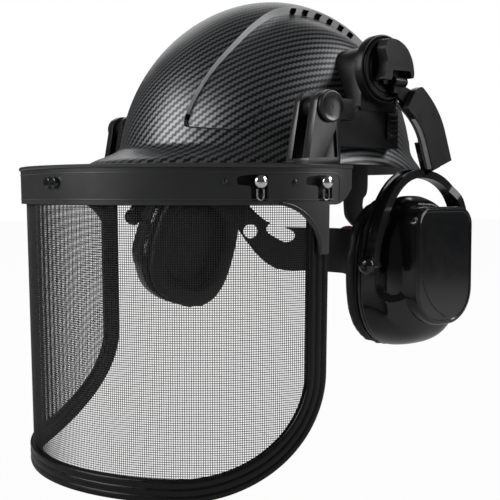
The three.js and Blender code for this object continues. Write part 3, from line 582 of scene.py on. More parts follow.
def build_shell():
    rho_max = UNROLL * math.acos(SHELL["rim"] / SHELL["h"])
    grid = [np.zeros((1, 2))]
    for k in range(1, GRID["rings"] + 1):
        last = k == GRID["rings"]
        rho = rho_max * k / GRID["rings"]
        real = GRID["radius"] * math.sin(min(rho / UNROLL, math.pi / 2)) + 4
        count = GRID["rim"] if last else max(8, int(TAU * real / GRID["spacing"]))
        turn = (np.arange(count) + (0 if last else 0.5 * (k % 2))) * TAU / count
        grid.append(rho * np.stack([np.cos(turn), np.sin(turn)], 1))
    grid = np.vstack(grid)
    left = [grown(pocket_loop(), -offset) for offset, _ in LEVELS]
    right = [loop * [-1, 1] for loop in left]
    for loop in (left[1], right[1]):
        grid = grid[~near(grid, loop, GRID["clear"])]
    flat, tris, origin = meshed(grid, left + right)
    level = np.full(len(flat), -1)
    for k, o in enumerate(origin):
        if o >= len(grid):
            level[k] = (o - len(grid)) // len(left[0])
    sunk = inside(flat, left[3]) | inside(flat, right[3])
    angle, z = dome_place(flat)
    base = dropped(shell_point(angle, np.maximum(z, SHELL["rim"])))
    share = np.where(level >= 0, np.array([s for _, s in LEVELS])[level % 4], sunk.astype(float))
    normal = base * [1 / SHELL["a"] ** 2, 1 / SHELL["b"] ** 2, 1 / SHELL["h"] ** 2]
    normal /= np.linalg.norm(normal, axis=1)[:, None]
    outer = base - normal * (share * pocket_depth(base))[:, None]

    rim = np.flatnonzero(np.hypot(flat[:, 0], flat[:, 1]) > rho_max - 0.05)
    rim = rim[np.argsort(np.arctan2(flat[rim, 1], flat[rim, 0]))]
    turn = np.arctan2(flat[rim, 1], flat[rim, 0])
    levels = SHELL["rim"] + (SHELL["h"] - SHELL["rim"]) * np.sin(np.linspace(0, 1.5, 44))
    inner = []
    for z in levels * (SHELL["h"] - SHELL["wall"]) / SHELL["h"]:
        ring = shell_point(turn, np.full(len(turn), max(z, SHELL["rim"])), -SHELL["wall"])
        lowered = 6.2 * smooth((z - 24) / 22)
        ring = ring - lowered * ring / np.linalg.norm(ring, axis=1)[:, None]
        inner.append(dropped(ring))
    lip = (outer[rim] + inner[0]) / 2 - [0, 0, 0.9]
    points, faces = joined_rings([outer[rim], lip, *inner], caps=False)
    start = len(outer)
    shift = [*rim.tolist(), *range(start, start + len(points) - len(rim))]
    faces = [tuple(shift[i] for i in face) for face in faces]
    top = start + len(points) - 2 * len(rim)
    faces += [(top + i, top + (i + 1) % len(rim), top + len(rim)) for i in range(len(rim))]
    everything = np.vstack([outer, points[len(rim):], [[0, SHELL["lean"], inner[-1][:, 2].mean() + 0.3]]])

    bm = bmesh.new()
    made = [bm.verts.new(p) for p in everything * MM]
    weave = bm.loops.layers.uv.new("weave")
    maps = weave_map(base), weave_map(base * RIGHT)
    vents = []
    centre = np.array([everything[list(t)].mean(0) for t in tris])
    turned = ridge_angle(centre)
    edge = np.interp(turned, RIDGE[:, 0], RIDGE[:, 1])
    by_ridge = np.abs(np.abs(centre[:, 0]) - edge) < 3
    for k, tri in enumerate(tris):
        face = bm.faces.new([made[i] for i in tri])
        far = 1 if centre[k, 0] < -edge[k] else 0
        for loop, i in zip(face.loops, tri):
            loop[weave].uv = maps[far][i]
        levels_here = {int(level[i]) for i in tri}
        same_side = all(v >= 0 for v in levels_here) and len({v // 4 for v in levels_here}) == 1
        # faces of the ridge's step wall above VENT_LOW take the light grey look: partly their own colour,
        # partly a painted highlight of the lit step
        if same_side and len(levels_here) > 1 and centre[k, 2] > VENT_LOW and by_ridge[k]:
            face.material_index = 1
            if {v % 4 for v in levels_here} in ({1, 2}, {2, 3}) and any(a < turned[k] < b for a, b in VENTS):
                vents.append(face)
    for face in faces:
        bm.faces.new([made[i] for i in face]).material_index = 2
    bm.normal_update()
    split = [[f for f in vents if (f.calc_center_median().x > 0) == is_left] for is_left in (True, False)]
    for inwards, group in zip((-VENT_DEPTH, VENT_DEPTH), split):
        sunk_parts = bmesh.ops.extrude_face_region(bm, geom=group)["geom"]
        moved = [g for g in sunk_parts if isinstance(g, bmesh.types.BMVert)]
        bmesh.ops.translate(bm, verts=moved, vec=(inwards * MM, 0, -0.4 * MM))
        bmesh.ops.delete(bm, geom=group, context="FACES_ONLY")
        # the sunk vents and their side walls take the dark vent look: painted shade inside the openings
        for floor in (g for g in sunk_parts if isinstance(g, bmesh.types.BMFace)):
            for face in [floor, *(f for e in floor.edges for f in e.link_faces)]:
                face.material_index = 3
    obj = finish_mesh(bm, "shell_fine", ["carbon", "wall", "inside", "vent"], 32)
    attach(obj, "helmet", ["shell"])
    # a thin dark bead along each pocket's lower step: painted shade under the step
    crease = spline([(43.5, 30), (45.5, 27.6), (52, 26.8), (64, 25.6), (72, 25.2), (77, 28), (79.4, 36),
                     (80.6, 46)])
    path = np.array([on_shell(x, z, -0.25) for x, z in crease])
    for side, flip in (("left", 1), ("right", RIGHT)):
        piece(f"{side}_pocket_shade_line", *bead(path * flip, 0.55, 8), "helmet", "shell", "vent", sharp=80)


build_shell()


# ------------------------------------------------------------ visor
def visor_outline(inset, start_z, parts=36):
    """The visor's edge, inset: from the left end down, across and up the right end, as (s, z)."""
    half, low = VISOR["half"] - inset, -(VISOR["height"] - inset)
    rs, rz = CORNER["s"] - inset, CORNER["z"] - inset
    side = [(half, z) for z in np.linspace(start_z, low + rz, 24)[:-1]]
    corner = [(half - rs + rs * math.cos(t), low + rz - rz * math.sin(t))
              for t in np.linspace(0, math.pi / 2, parts)]
    left = side + corner + [(s, low) for s in np.linspace(half - rs, 0, 30)[1:]]
    return np.array(left + [(-s, z) for s, z in left[-2::-1]])


def build_trim():
    """Edge trim with three ribs along each face."""
    start_z = -BAND["height"] - GAP
    outer, inner = visor_outline(0, start_z), visor_outline(TRIM["width"], start_z)
    across = np.linspace(0.4, TRIM["width"] - 0.4, 34)
    ribs = TRIM["half"] - 0.9 + 0.9 * np.abs(np.sin(across / TRIM["width"] * math.pi * 3)) ** 0.6
    section = [(0, -1.6), (0, 1.6)] + list(zip(across, ribs)) + [(TRIM["width"], 1.2), (TRIM["width"], -1.2)]
    section += [(a, -o) for a, o in zip(across[::-1], ribs[::-1])]
    rings = [[visor_point(s + (i[0] - s) * a / TRIM["width"], z + (i[1] - z) * a / TRIM["width"], o)
              for a, o in section] for (s, z), i in zip(outer, inner)]
    points, faces = joined_rings(rings)
    piece("visor_trim_ribbed", points, faces, "visor", "trim_rubber", "rubber", nodes=["visor_trim"],
          sharp=50)


THREAD = dict(r=0.225, pitch=1.5, apart=0.1)


def build_screen():
    """Round threads down and across, cut to the outline inside the trim's groove."""
    inset = TRIM["width"] - TRIM["groove"] + GAP
    half, low = VISOR["half"] - inset, -(VISOR["height"] - inset)
    rs, rz = CORNER["s"] - inset, CORNER["z"] - inset
    top = -3.2

    def bottom(s):
        into = max(0, abs(s) - (half - rs)) / rs
        return low + rz - rz * math.sqrt(max(0, 1 - into**2))

    def reach(z):
        into = max(0, (low + rz) - z) / rz
        return half - rs + rs * math.sqrt(max(0, 1 - into**2))

    corners = np.arange(4) * TAU / 4
    across, out = THREAD["r"] * np.cos(corners), THREAD["r"] * np.sin(corners)
    count = math.floor(half / THREAD["pitch"])
    down = [joined_rings([visor_point(s + across, z, THREAD["apart"] + out)
                          for z in np.linspace(top, bottom(s), 9)])
            for s in np.arange(-count, count + 1) * THREAD["pitch"]]
    piece("screen_threads_down", *merged(*down), "visor", "screen_mesh", "thread", nodes=["mesh_screen"],
          sharp=100)
    level = []
    for z in np.arange(top - 0.6, low, -THREAD["pitch"]):
        end = reach(z)
        level.append(joined_rings([visor_point(s, z + across, out - THREAD["apart"])
                                   for s in np.linspace(-end, end, max(8, int(end / 2.6)))]))
    piece("screen_threads_across", *merged(*level), "visor", "screen_mesh", "thread", sharp=100)


def keyhole(s0):
    """The dark slot round a stud: a wing towards the front and a leg down over the clip."""
    front = -math.copysign(1, s0)
    shape = np.array([(14.5, 3.2), (14.5, -2), (5.6, -2.4), (5.6, -12.2), (-5.4, -12.2), (-5.4, 4.2),
                      (5.6, 4.4)])
    loop = shape * [front, 1] + [s0, STUD_Z]
    if front < 0:
        loop = loop[::-1]
    return softened(resampled(loop, 0.8), 6)


def slab(outline, holes, place, low, high, spacing=2.4):
    """A curved plate from a flat outline with holes. place(u, v, out) gives a point."""
    lo, hi = outline.min(0), outline.max(0)
    u, v = np.meshgrid(np.arange(lo[0], hi[0], spacing), np.arange(lo[1], hi[1], spacing))
    grid = np.stack([u.ravel(), v.ravel()], 1)
    keep = inside(grid, outline)
    for loop in [outline, *holes]:
        keep &= ~near(grid, loop, spacing * 0.45)
    for hole in holes:
        keep &= ~inside(grid, hole)
    flat, tris, _ = meshed(grid[keep], [outline, *holes])
    middle = flat[np.array(tris)].mean(1)
    good = inside(middle, outline)
    for hole in holes:
        good &= ~inside(middle, hole)
    tris = [t for t, g in zip(tris, good) if g]
    n = len(flat)
    points = np.vstack([place(flat[:, 0], flat[:, 1], high), place(flat[:, 0], flat[:, 1], low)])
    faces = list(tris) + [tuple(i + n for i in t[::-1]) for t in tris]
    count = {}
    for a, b, c in tris:
        for e in ((a, b), (b, c), (c, a)):
            key = tuple(sorted(e))
            count[key] = None if key in count else e
    faces += [(e[1], e[0], e[0] + n, e[1] + n) for e in count.values() if e]
    return points, faces


BAND_PART = ("visor", "satin_plastic", "band")    # body, slot and look


def build_band():
    top = [(s, -1.0) for s in np.linspace(BAND["end"], -BAND["end"], 190)]
    low = [(s, -BAND["height"] + 0.055 * max(0, abs(s) - BAND["taper_from"]) ** 2)
           for s in np.linspace(-BAND["end"], BAND["end"], 190)]
    outline = np.array(low + top)
    holes = [keyhole(k * s) for s in BAND_STUDS for k in (1, -1)]
    wall = slab(outline, holes, visor_point, BAND["inner"], BAND["outer"])
    piece("brow_band_wall", *wall, *BAND_PART, nodes=["brow_band"], bevel=0.35, sharp=45)

    places = np.linspace(-BAND["end"], BAND["end"], 200)
    section = [(-BAND["flange"], 0), (BAND["outer"] + 0.4, 0), (BAND["outer"] + 1.0, -0.5),
               (BAND["outer"] + 1.0, -BAND["lip"] + 0.4), (BAND["outer"] + 0.6, -BAND["lip"]),
               (-BAND["flange"], -BAND["lip"])]
    lip = joined_rings([[visor_point(s, z, out) for out, z in section] for s in places])
    piece("brow_lip", *lip, *BAND_PART, sharp=50)

    for k, side in ((1, "left"), (-1, "right")):
        arc = [(k * (GUSSET["start"] + GUSSET["radius"] * math.sin(t)),
                -BAND["height"] - GUSSET["radius"] * (1 - math.cos(t))) for t in np.linspace(0.12,
                                                                                             math.pi / 2,
                                                                                             26)]
        edge = arc + [(k * GUSSET["end"], -BAND["height"] - GUSSET["radius"])]
        back = [(k * GUSSET["end"], -BAND["height"] + 1), (arc[0][0], -BAND["height"] + 1)]
        loop = np.array(edge + back)
        loop = loop[::-1] if k > 0 else loop
        plate = slab(resampled(loop, 1.6), [], visor_point, GUSSET["inner"], GUSSET["outer"], 3)
        piece(f"{side}_gusset", *plate, *BAND_PART, bevel=0.4, sharp=45)
        rim = [visor_point(s + k * 1.2, z + 1.5, GUSSET["outer"]) for s, z in arc]
        piece(f"{side}_gusset_bead", *bead(rim, 0.7), *BAND_PART, sharp=80)
        for s0 in BAND_STUDS:
            name = "front" if s0 == BAND_STUDS[0] else "side"
            # a plate darker than the band behind each keyhole: painted shade in the slot's recess
            plate = rounded((k * s0 - 17, -25), (k * s0 + 17, -5), 2, 2)
            piece(f"{side}_{name}_slot_shade_plate", *slab(plate, [], visor_point, 0.62, 0.94, 4), "visor", *DARK)
    path = [(s, -5.6) for s in np.linspace(-212, 212, 180)]
    drop = [(212 + 5 * math.sin(t), -10.6 + 5 * math.cos(t)) for t in np.linspace(0.1, math.pi / 2, 8)]
    drop += [(217, z) for z in np.linspace(-12, -24, 8)]
    path = [(-s, z) for s, z in drop[::-1]] + path + drop
    piece("band_bead", *bead([visor_point(s, z, BAND["outer"] - 0.05) for s, z in path], 0.42), 
          *BAND_PART, sharp=80)
    low_line = [visor_point(s, -22.6, BAND["outer"] - 0.1) for s in np.linspace(-212, 212, 180)]
    piece("band_low_bead", *bead(low_line, 0.4), *BAND_PART, sharp=80)


def on_band(points, s, z):
    """Points made along +X at the origin, stood on the band at arc length s."""
    at = visor_point(s, z, BAND["outer"] + GAP)
    out = visor_point(s, z, BAND["outer"] + GAP + 1) - at
    across = np.array([-out[1], out[0], 0])
    p = np.asarray(points, float)
    return at + p[:, :1] * out + p[:, 1:2] * across + p[:, 2:3] * [0, 0, 1]


def build_studs():
    dome = [(0, 2.9), (1.2, 3.1), (1.5, 4.2)] + [(1.8 + 3.1 * math.sin(t), 4.4 * math.cos(t))
                                                for t in np.linspace(0.05, math.pi / 2, 12)]
    points, faces = lathe(dome, "x", (0, 0), 32)
    for side, k in (("left", 1), ("right", -1)):
        for place, s in zip(("front", "side"), BAND_STUDS):
            piece(f"{side}_{place}_stud_dome", on_band(points, k * s, STUD_Z), faces, "visor", "chrome",
                  "chrome",
                  nodes=[f"{side}_{place}_band_stud"])
            leg = [(0.55, c, z) for c, z in [(-2.1, -4.6), (-2.1, -8.6)] + [
                (-2.1 * math.cos(t), -9.4 - 2.1 * math.sin(t)) for t in np.linspace(0, math.pi, 9)] + [
                (2.1, -8.6), (2.1, -4.6)]]
            hook, hook_faces = bead(leg, 0.6, 8)
            piece(f"{side}_{place}_clip_wire", on_band(hook, k * s, STUD_Z), hook_faces, "visor",
                  "clip_steel",
                  "clip", nodes=[f"{side}_{place}_band_clip"], sharp=60)
            tongue, tongue_faces = lathe([(-0.2, 0), (-0.2, 1.5), (0.5, 1.3), (0.7, 0.7), (0.7, 0)], "x",
                                         (0, -9), 20)
            piece(f"{side}_{place}_clip_pin", on_band(tongue, k * s, STUD_Z), tongue_faces, "visor",
                  "clip_steel",
                  "dark")
        for s in (138, 183):
            bump_shape = lathe([(-0.4, 1.7), (0.5, 1.5), (0.9, 0.9), (1.0, 0)], "x", (0, 0), 20)
            piece(f"{side}_band_pip_{s}", on_band(bump_shape[0], k * s, STUD_Z), bump_shape[1], "visor",
                  *SATIN)
    refined("centre_plug", "visor", *GLOSS, 0.5)


build_trim()
build_screen()
build_band()
build_studs()


# ------------------------------------------------------------ pivots, adapters, hubs and arms
def arm_path(t):
    """The arm's middle line in (y, z) and its direction: curved up to 1, then straight to the foot at 2."""
    down = DOWN[1:]
    start, end = np.array([15, 54.5]), np.array([FOOT["y"], FOOT["z"]])
    bend = end - down * 23
    middle = bend - down * 20
    if t > 1:
        return bend + (end - bend) * (t - 1), down
    at = (1 - t) ** 2 * start + 2 * t * (1 - t) * middle + t**2 * bend
    along = (1 - t) * (middle - start) + t * (bend - middle)
    return at, along / np.linalg.norm(along)


def beside_arm(t, x, out):
    """A point at out millimetres from the arm's middle line."""
    at, along = arm_path(t)
    return x, at[0] - along[1] * out, at[1] + along[0] * out


def build_mounts():
    cap = [(0, 0), (0, 9.2), (0.2, 10.0), (0.8, 10.5), (2.4, 10.45), (3.1, 9.9), (3.25, 9.3), (2.9, 8.8),
           (2.3, 6.5), (2.05, 4), (1.95, 1.6), (1.6, 1.2), (1.55, 0)]
    both("pivot_cap", lathe([(PIVOT["x"] + x, r) for x, r in cap], "x", (PIVOT["y"], PIVOT["z"])), "visor",
         *SATIN, nodes=["{}_pivot_bolt"])
    disc = [(108.9, 0), (108.9, 5.6), (109.4, 6), (115, 6), (115, 23.5), (115.5, 24), (121.4, 24),
            (122.2, 23.6),
            (122.4, 23), (122.0, 22.3), (121.5, 21.9), (123.4, 21.5), (123.9, 21), (123.9, 19.9),
            (123.3, 19.4),
            (122, 19.1), (122, 16.6), (122.8, 16.2), (122.8, 14.6), (122.1, 14.2), (122.1, 0)]
    both("hub_ringed", lathe(disc, "x", (HUB["y"], HUB["z"]), 72), "{}_hub", *DARK,
         nodes=["{}_hub_disc"])
    for side in ("left", "right"):
        refined(f"{side}_visor_arm", "visor", *SATIN, 0.8)
        refined(f"{side}_slot_adapter", "helmet", *DARK, 1.0)
        refined(f"{side}_release_tab", "helmet", *DARK, 0.35)
    lobe = spline([(23.9, 62.5), (24.4, 67), (22, 76), (16, 83.8), (7, 88), (-2.5, 88.4)], 8)
    notch = [(-5.5, 82), (-2.6, 72), (-4.4, 65), (-7, 60), (1.4, 60), (2.2, 67), (20.9, 67.4), (21.2, 62.5)]
    outline = softened(resampled(np.vstack([lobe, notch]), 0.9), 3)

    def upright(u, v, out):
        return np.stack(np.broadcast_arrays(out, u, v), -1)

    both("hub_block_lobe", slab(outline, [], upright, 124.25, 133), "{}_hub", *SATIN,
         nodes=["{}_hub_block"], bevel=0.9, sharp=45)
    # a plate darker than the block at the back of its mouth: painted shade in the recess
    back = rounded((1, 58), (22, 68), 1, 1)
    both("hub_mouth_shade_plate", slab(back, [], upright, 124.4, 125.4), "{}_hub", *DARK)
    cover = [(0.15, 9, 4), (0.17, 10.4, 7.4),
             (0.21, 11, 10.2)] + [(t, 11, 11) for t in np.linspace(0.24, 1, 14)]
    rings = [[beside_arm(t, x, c) for x, c in ((128.6, -front), (134.5, -front), (134.5, rear),
                                               (128.6, rear))]
             for t, front, rear in cover + [(1.35, 11, 11), (1.95, 11, 11)]]
    both("arm_cover_shield", joined_rings(rings), "{}_arm", *SATIN,
         nodes=["{}_arm_cover"], bevel=0.9, sharp=30)
    strip = [(0, 5), (0.1, 5.4), (0.2, 7)] + [(t, 8) for t in np.linspace(0.3, 1, 14)] + [(1.5, 8),
                                                                                          (1.97, 8)]
    rings = [[beside_arm(t, x, c) for x, c in ((124.6, -half), (128.2, -half), (128.2, half), (124.6, half))]
             for t, half in strip]
    knuckle = lathe([(8, 0), (8, 2.9), (8.5, 3.4), (20, 3.4), (20.5, 2.9), (20.5, 0)], "y", (127.6, 60), 32)
    root = slab(rounded((9, 52), (20, 60), 1, 1), [], upright, 124.7, 128.1)
    both("arm_spring_strip", merged(joined_rings(rings), knuckle, root), "{}_arm", "spring_steel", "dark",
         nodes=["{}_arm_spring"], bevel=0.5, sharp=40)
    # a light grey strip on the cover's front face: partly its own colour, partly a painted reflection of the
    # lamps
    light_strip_section = ((129.8, -11.35), (133.4, -11.35), (133.4, -10.6), (129.8, -10.6))
    rings = [[beside_arm(t, x, c) for x, c in light_strip_section] for t in np.linspace(0.42, 1.9, 26)]
    both("arm_cover_light_strip", joined_rings(rings), "{}_arm", "satin_plastic", "wall", bevel=0.2)
    for offset, x, r in ((-8.6, 126.2, 1.3), (-10.4, 127.6, 0.8)):
        rod = [beside_arm(t, x, offset) for t in np.linspace(0.02, 1.9, 22)]
        both(f"arm_rib_{int(r * 10)}", bead(rod, r, 10), "{}_arm", "spring_steel", "spring", sharp=60)


build_mounts()


# ------------------------------------------------------------ yokes, cups and cushions
YOKE_SEAT = 124.2               # the yoke is cut back to here where the arm slides over it


def build_yokes():
    x0, x1 = YOKE["x"]
    h = YOKE["thick"] / 2
    section = [(x0, -h), (x1, -h), (x1, h), (x1 - 2.4, h), (x1 - 3.0, h - 1.5), (x0 + 3.0, h - 1.5),
               (x0 + 2.4, h), (x0, h)]
    rings = []
    for turn in np.linspace(0, math.pi, 72):
        power = YOKE["power"] + 0.5 * math.cos(turn)
        at, ahead, behind = (np.array(super_point(turn + d, YOKE["half"], YOKE["rise"], power))
                             for d in (0, 0.02, -0.02))
        along = (ahead - behind) / np.linalg.norm(ahead - behind)
        past = abs(YOKE["y"] + at[0] - FOOT["y"] - 5) - 16
        limit = YOKE_SEAT + (x1 - YOKE_SEAT) * float(smooth(past / 9))
        rings.append([(min(x, limit + (x - x1) * 0.1), YOKE["y"] + at[0] + along[1] * out,
                       YOKE["z"] + at[1] - along[0] * out) for x, out in section])
    middle = (x0 + x1) / 2
    eyes = []
    for side in (-1, 1):
        y = YOKE["y"] + side * YOKE["half"]
        profile = [(y - h, 0), (y - h, 6.6), (y - h + 0.4, 7), (y + h - 0.4, 7), (y + h, 6.6), (y + h, 0)]
        eyes.append(lathe(profile, "y", (middle, YOKE["z"]), 40))
    both("yoke_ribbed", merged(joined_rings(rings), *eyes), "{}_yoke", *GLOSS,
         nodes=["{}_yoke"], bevel=0.5, sharp=40)
    stem = []
    for x in (121, 124.2):
        stem.append([(x, FOOT["y"] + DOWN[1] * a - DOWN[2] * c, FOOT["z"] + DOWN[2] * a + DOWN[1] * c)
                     for c, a in ((-9, -22), (9, -22), (9, 3), (-9, 3))])
    both("yoke_stem", joined_rings(stem), "{}_yoke", *GLOSS, bevel=0.8)
    for side, word in ((-1, "front"), (1, "rear")):
        face = YOKE["y"] + side * (YOKE["half"] + h + GAP)
        tip = CUP["y"] + side * (CUP["half"] - 1.7)
        ball = [(tip, 0), (tip, 2.6), (face, 2.6)] + [(face + side * 4.9 * math.sin(t), 6.4 * math.cos(t))
                                                      for t in np.linspace(0, math.pi / 2, 14)]
        both(f"{word}_pivot_ball", lathe(ball, "y", (middle, YOKE["z"]), 40), "{}_yoke", *GLOSS,
             nodes=["{}_" + word + "_stud"])


# How far in the cup's outline is at each depth from its rim.
CUP_PROFILE = spline([(0, 0), (7, 0.2), (17, 2), (26, 5.5), (33, 11), (37.3, 18), (39, 26)], 8)
CAP = dict(half=19.5, rise=5)          # the rounded top of the cup between two creases


HOLLOW = dict(inner=118.6, r=9.9, z=-84.5, top=-34, depth=2.3)    # its lower end is round
CREASE_DEPTH = 0.9


def cup_ring(x, less, count, rise=0.0):
    y, z = super_point(np.arange(count) * TAU / count, CUP["half"] - less, CUP["tall"] - less, CUP["power"])
    lift = rise * smooth((z - 12) / 34) * (1 - smooth((np.abs(y) - 8) / 26))
    return np.stack([np.full(count, x), CUP["y"] + y, CUP["z"] + z + lift], 1)


def cup_details(p):
    """Sinks the long hollow on each end of the cup and the creases beside its rounded top."""
    across, z = np.abs(p[:, 1] - CUP["y"]), p[:, 2]
    x = p[:, 0]
    low = HOLLOW["r"] - np.hypot(x - HOLLOW["inner"] - HOLLOW["r"], z - HOLLOW["z"])
    inner = np.where(z < HOLLOW["z"], low, x - HOLLOW["inner"])
    inner = np.minimum(inner, (HOLLOW["top"] - z) * 0.8)
    hollow = smooth(inner / 1.6) * smooth((across - 13) / 6)
    crease = np.exp(-(((across - CAP["half"]) / 0.9) ** 2)) * smooth((z + 46) / 8)
    sink = HOLLOW["depth"] * hollow + CREASE_DEPTH * crease
    centre = np.array([CUP["rim"] - 10, CUP["y"], CUP["z"]])
    inwards = centre - p
    inwards /= np.linalg.norm(inwards, axis=1)[:, None]
    return p + inwards * sink[:, None]


def build_cups():
    seam = [(0.0, 0.9), (0.6, 0.0), (2.6, 0.0), (3.0, 0.7), (3.6, 0.7), (4.0, 0.05)]
    levels = seam + [tuple(v) for v in CUP_PROFILE if v[0] > 4.4]
    outer = []
    for (d0, l0), (d1, l1) in zip(levels, levels[1:]):
        parts = max(1, int((d1 - d0) / 0.8 + (l1 - l0) / 1.6)) if d0 > 4 else 1
        outer += [(d0 + (d1 - d0) * k / parts, l0 + (l1 - l0) * k / parts) for k in range(parts)]
    outer.append(levels[-1])
    rings = [cup_details(cup_ring(CUP["rim"] + d, l, 168, CAP["rise"] * smooth(d / 14))) for d, l in outer]
    inner = [cup_ring(CUP["rim"] + d * 36 / 39, l + 3, 168, CAP["rise"] * smooth(d / 14) * 0.6)
             for d, l in CUP_PROFILE[::6]]
    points, faces = joined_rings(rings[::-1] + inner, caps=True)
    both("cup_fine", (points, faces), "{}_cup", *GLOSS, nodes=["{}_cup"], sharp=60)

    def outline(less):
        return rounded((CUP["y"] - PANEL["half"] + less, PANEL["bottom"] + less),
                       (CUP["y"] + PANEL["half"] - less, PANEL["top"] - less),
                       PANEL["low_r"] - less, PANEL["high_r"] - less, 14)

    face = PANEL["face"]
    profile = [(127, 1.2), (face - 3.4, 0), (face - 1.6, 0.5), (face - 0.5, 1.4), (face, 2.6), (face, 3.4),
               (face - 0.6, 3.9), (face - 0.6, 8)]
    rings = [[(x, y, z) for y, z in outline(less)] for x, less in profile]
    both("cup_panel_fine", joined_rings(rings), "{}_cup", *GLOSS,
         nodes=["{}_cup_panel"], sharp=28)
    curve = spline([(19.4, -79), (21.8, -87), (30.4, -98.6), (44, -107.4)], 10)
    line = [(face - 0.62, y, z) for y, z in curve]
    both("cup_panel_line", bead(line, 0.5), "{}_cup", *GLOSS, sharp=80)
    for side in ("left", "right"):
        refined(f"{side}_cushion_plate", f"{side}_cup", "cushion_plate", "dark", 0.5)


SWELL = dict(pressure=3.0, cap=2.2, voxel=4, frames=20)


def puffed(obj):
    """Evens out a closed piece, gives it a slight swell as cloth under pressure, and smooths it."""
    scene = bpy.context.scene
    remesh = obj.modifiers.new("even", "REMESH")
    remesh.mode = "VOXEL"
    remesh.voxel_size = SWELL["voxel"] * MM
    bake(obj)
    start = np.array([v.co for v in obj.data.vertices])
    cloth = obj.modifiers.new("swell", "CLOTH")
    cloth.settings.use_pressure = True
    cloth.settings.uniform_pressure_force = SWELL["pressure"]
    cloth.settings.effector_weights.gravity = 0
    cloth.settings.quality = 6
    cloth.point_cache.frame_start, cloth.point_cache.frame_end = 1, SWELL["frames"]
    for number in range(1, SWELL["frames"] + 1):
        scene.frame_set(number)
    bake(obj)
    scene.frame_set(1)
    end = np.array([v.co for v in obj.data.vertices])
    move = end - start
    far = np.linalg.norm(move, axis=1)
    end = start + move * np.minimum(1, SWELL["cap"] * MM / np.maximum(far, 1e-9))[:, None]
    obj.data.vertices.foreach_set("co", end.astype(np.float32).ravel())
    soften = obj.modifiers.new("soften", "SUBSURF")
    soften.levels = soften.render_levels = 1
    bake(obj)
    for polygon in obj.data.polygons:
        polygon.use_smooth = True
    return obj


def bake(obj):
    """Applies every modifier."""
    bpy.context.view_layer.update()
    graph = bpy.context.evaluated_depsgraph_get()
    mesh = bpy.data.meshes.new_from_object(obj.evaluated_get(graph))
    obj.modifiers.clear()
    obj.data = mesh


def build_cushions():
    """The ear cushion is a soft ring against the head; the twin copies the result."""
    back = CUP["rim"] - 2.4 - GAP
    rings = []
    for turn in np.arange(14) * TAU / 14:
        depth = back - 5.9 + 5.6 * math.cos(turn)
        width = 0.54 + 0.46 * math.sin(turn)
        outer, inner = cup_ring(depth, -1.6, 72, CAP["rise"] * 0.3), cup_ring(depth, 0, 72)
        hole = (inner - [depth, CUP["y"], CUP["z"]]) * [1, 0.66, 0.66] + [depth, CUP["y"], CUP["z"]]
        rings.append(hole + (outer - hole) * width)
    points, faces = joined_rings(np.swapaxes(np.array(rings), 0, 1), loop=True)
    left = puffed(finish_mesh(new_bmesh(points, faces), "left_cushion_soft", ["vinyl"], 180))
    place = np.array([v.co for v in left.data.vertices]) / MM
    place[:, 0] = np.clip(place[:, 0], 87.2, back - 0.15)
    left.data.vertices.foreach_set("co", (place * MM).astype(np.float32).ravel())
    twin = left.data.copy()
    twin.vertices.foreach_set("co", (placed(place, "right", "slides") * MM).astype(np.float32).ravel())
    twin.flip_normals()
    right = bpy.data.objects.new("right_cushion_soft", twin)
    bpy.context.scene.collection.objects.link(right)
    for side, obj in (("left", left), ("right", right)):
        attach(obj, f"{side}_cup", [f"{side}_cushion"])


def build_foam():
    rings = [cup_ring(x, less, 64) for x, less in ((107, 9), (107.3, 6.4), (108.6, 5.0), (112, 5.2),
                                                   (118, 6.6),
                                                   (127, 10.7), (131, 15), (132, 19))]
    for obj in both("foam_disc", joined_rings(rings), "{}_cup", "acoustic_foam", "foam",
                    nodes=["{}_cup_foam"]):
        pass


build_yokes()
build_cups()
build_cushions()
build_foam()


# ------------------------------------------------------------ harness
def head_place(turn, grow):
    return ((HEADBAND["a"] + grow) * math.cos(turn), HEADBAND["y"] + (HEADBAND["b"] + grow) * math.sin(turn))


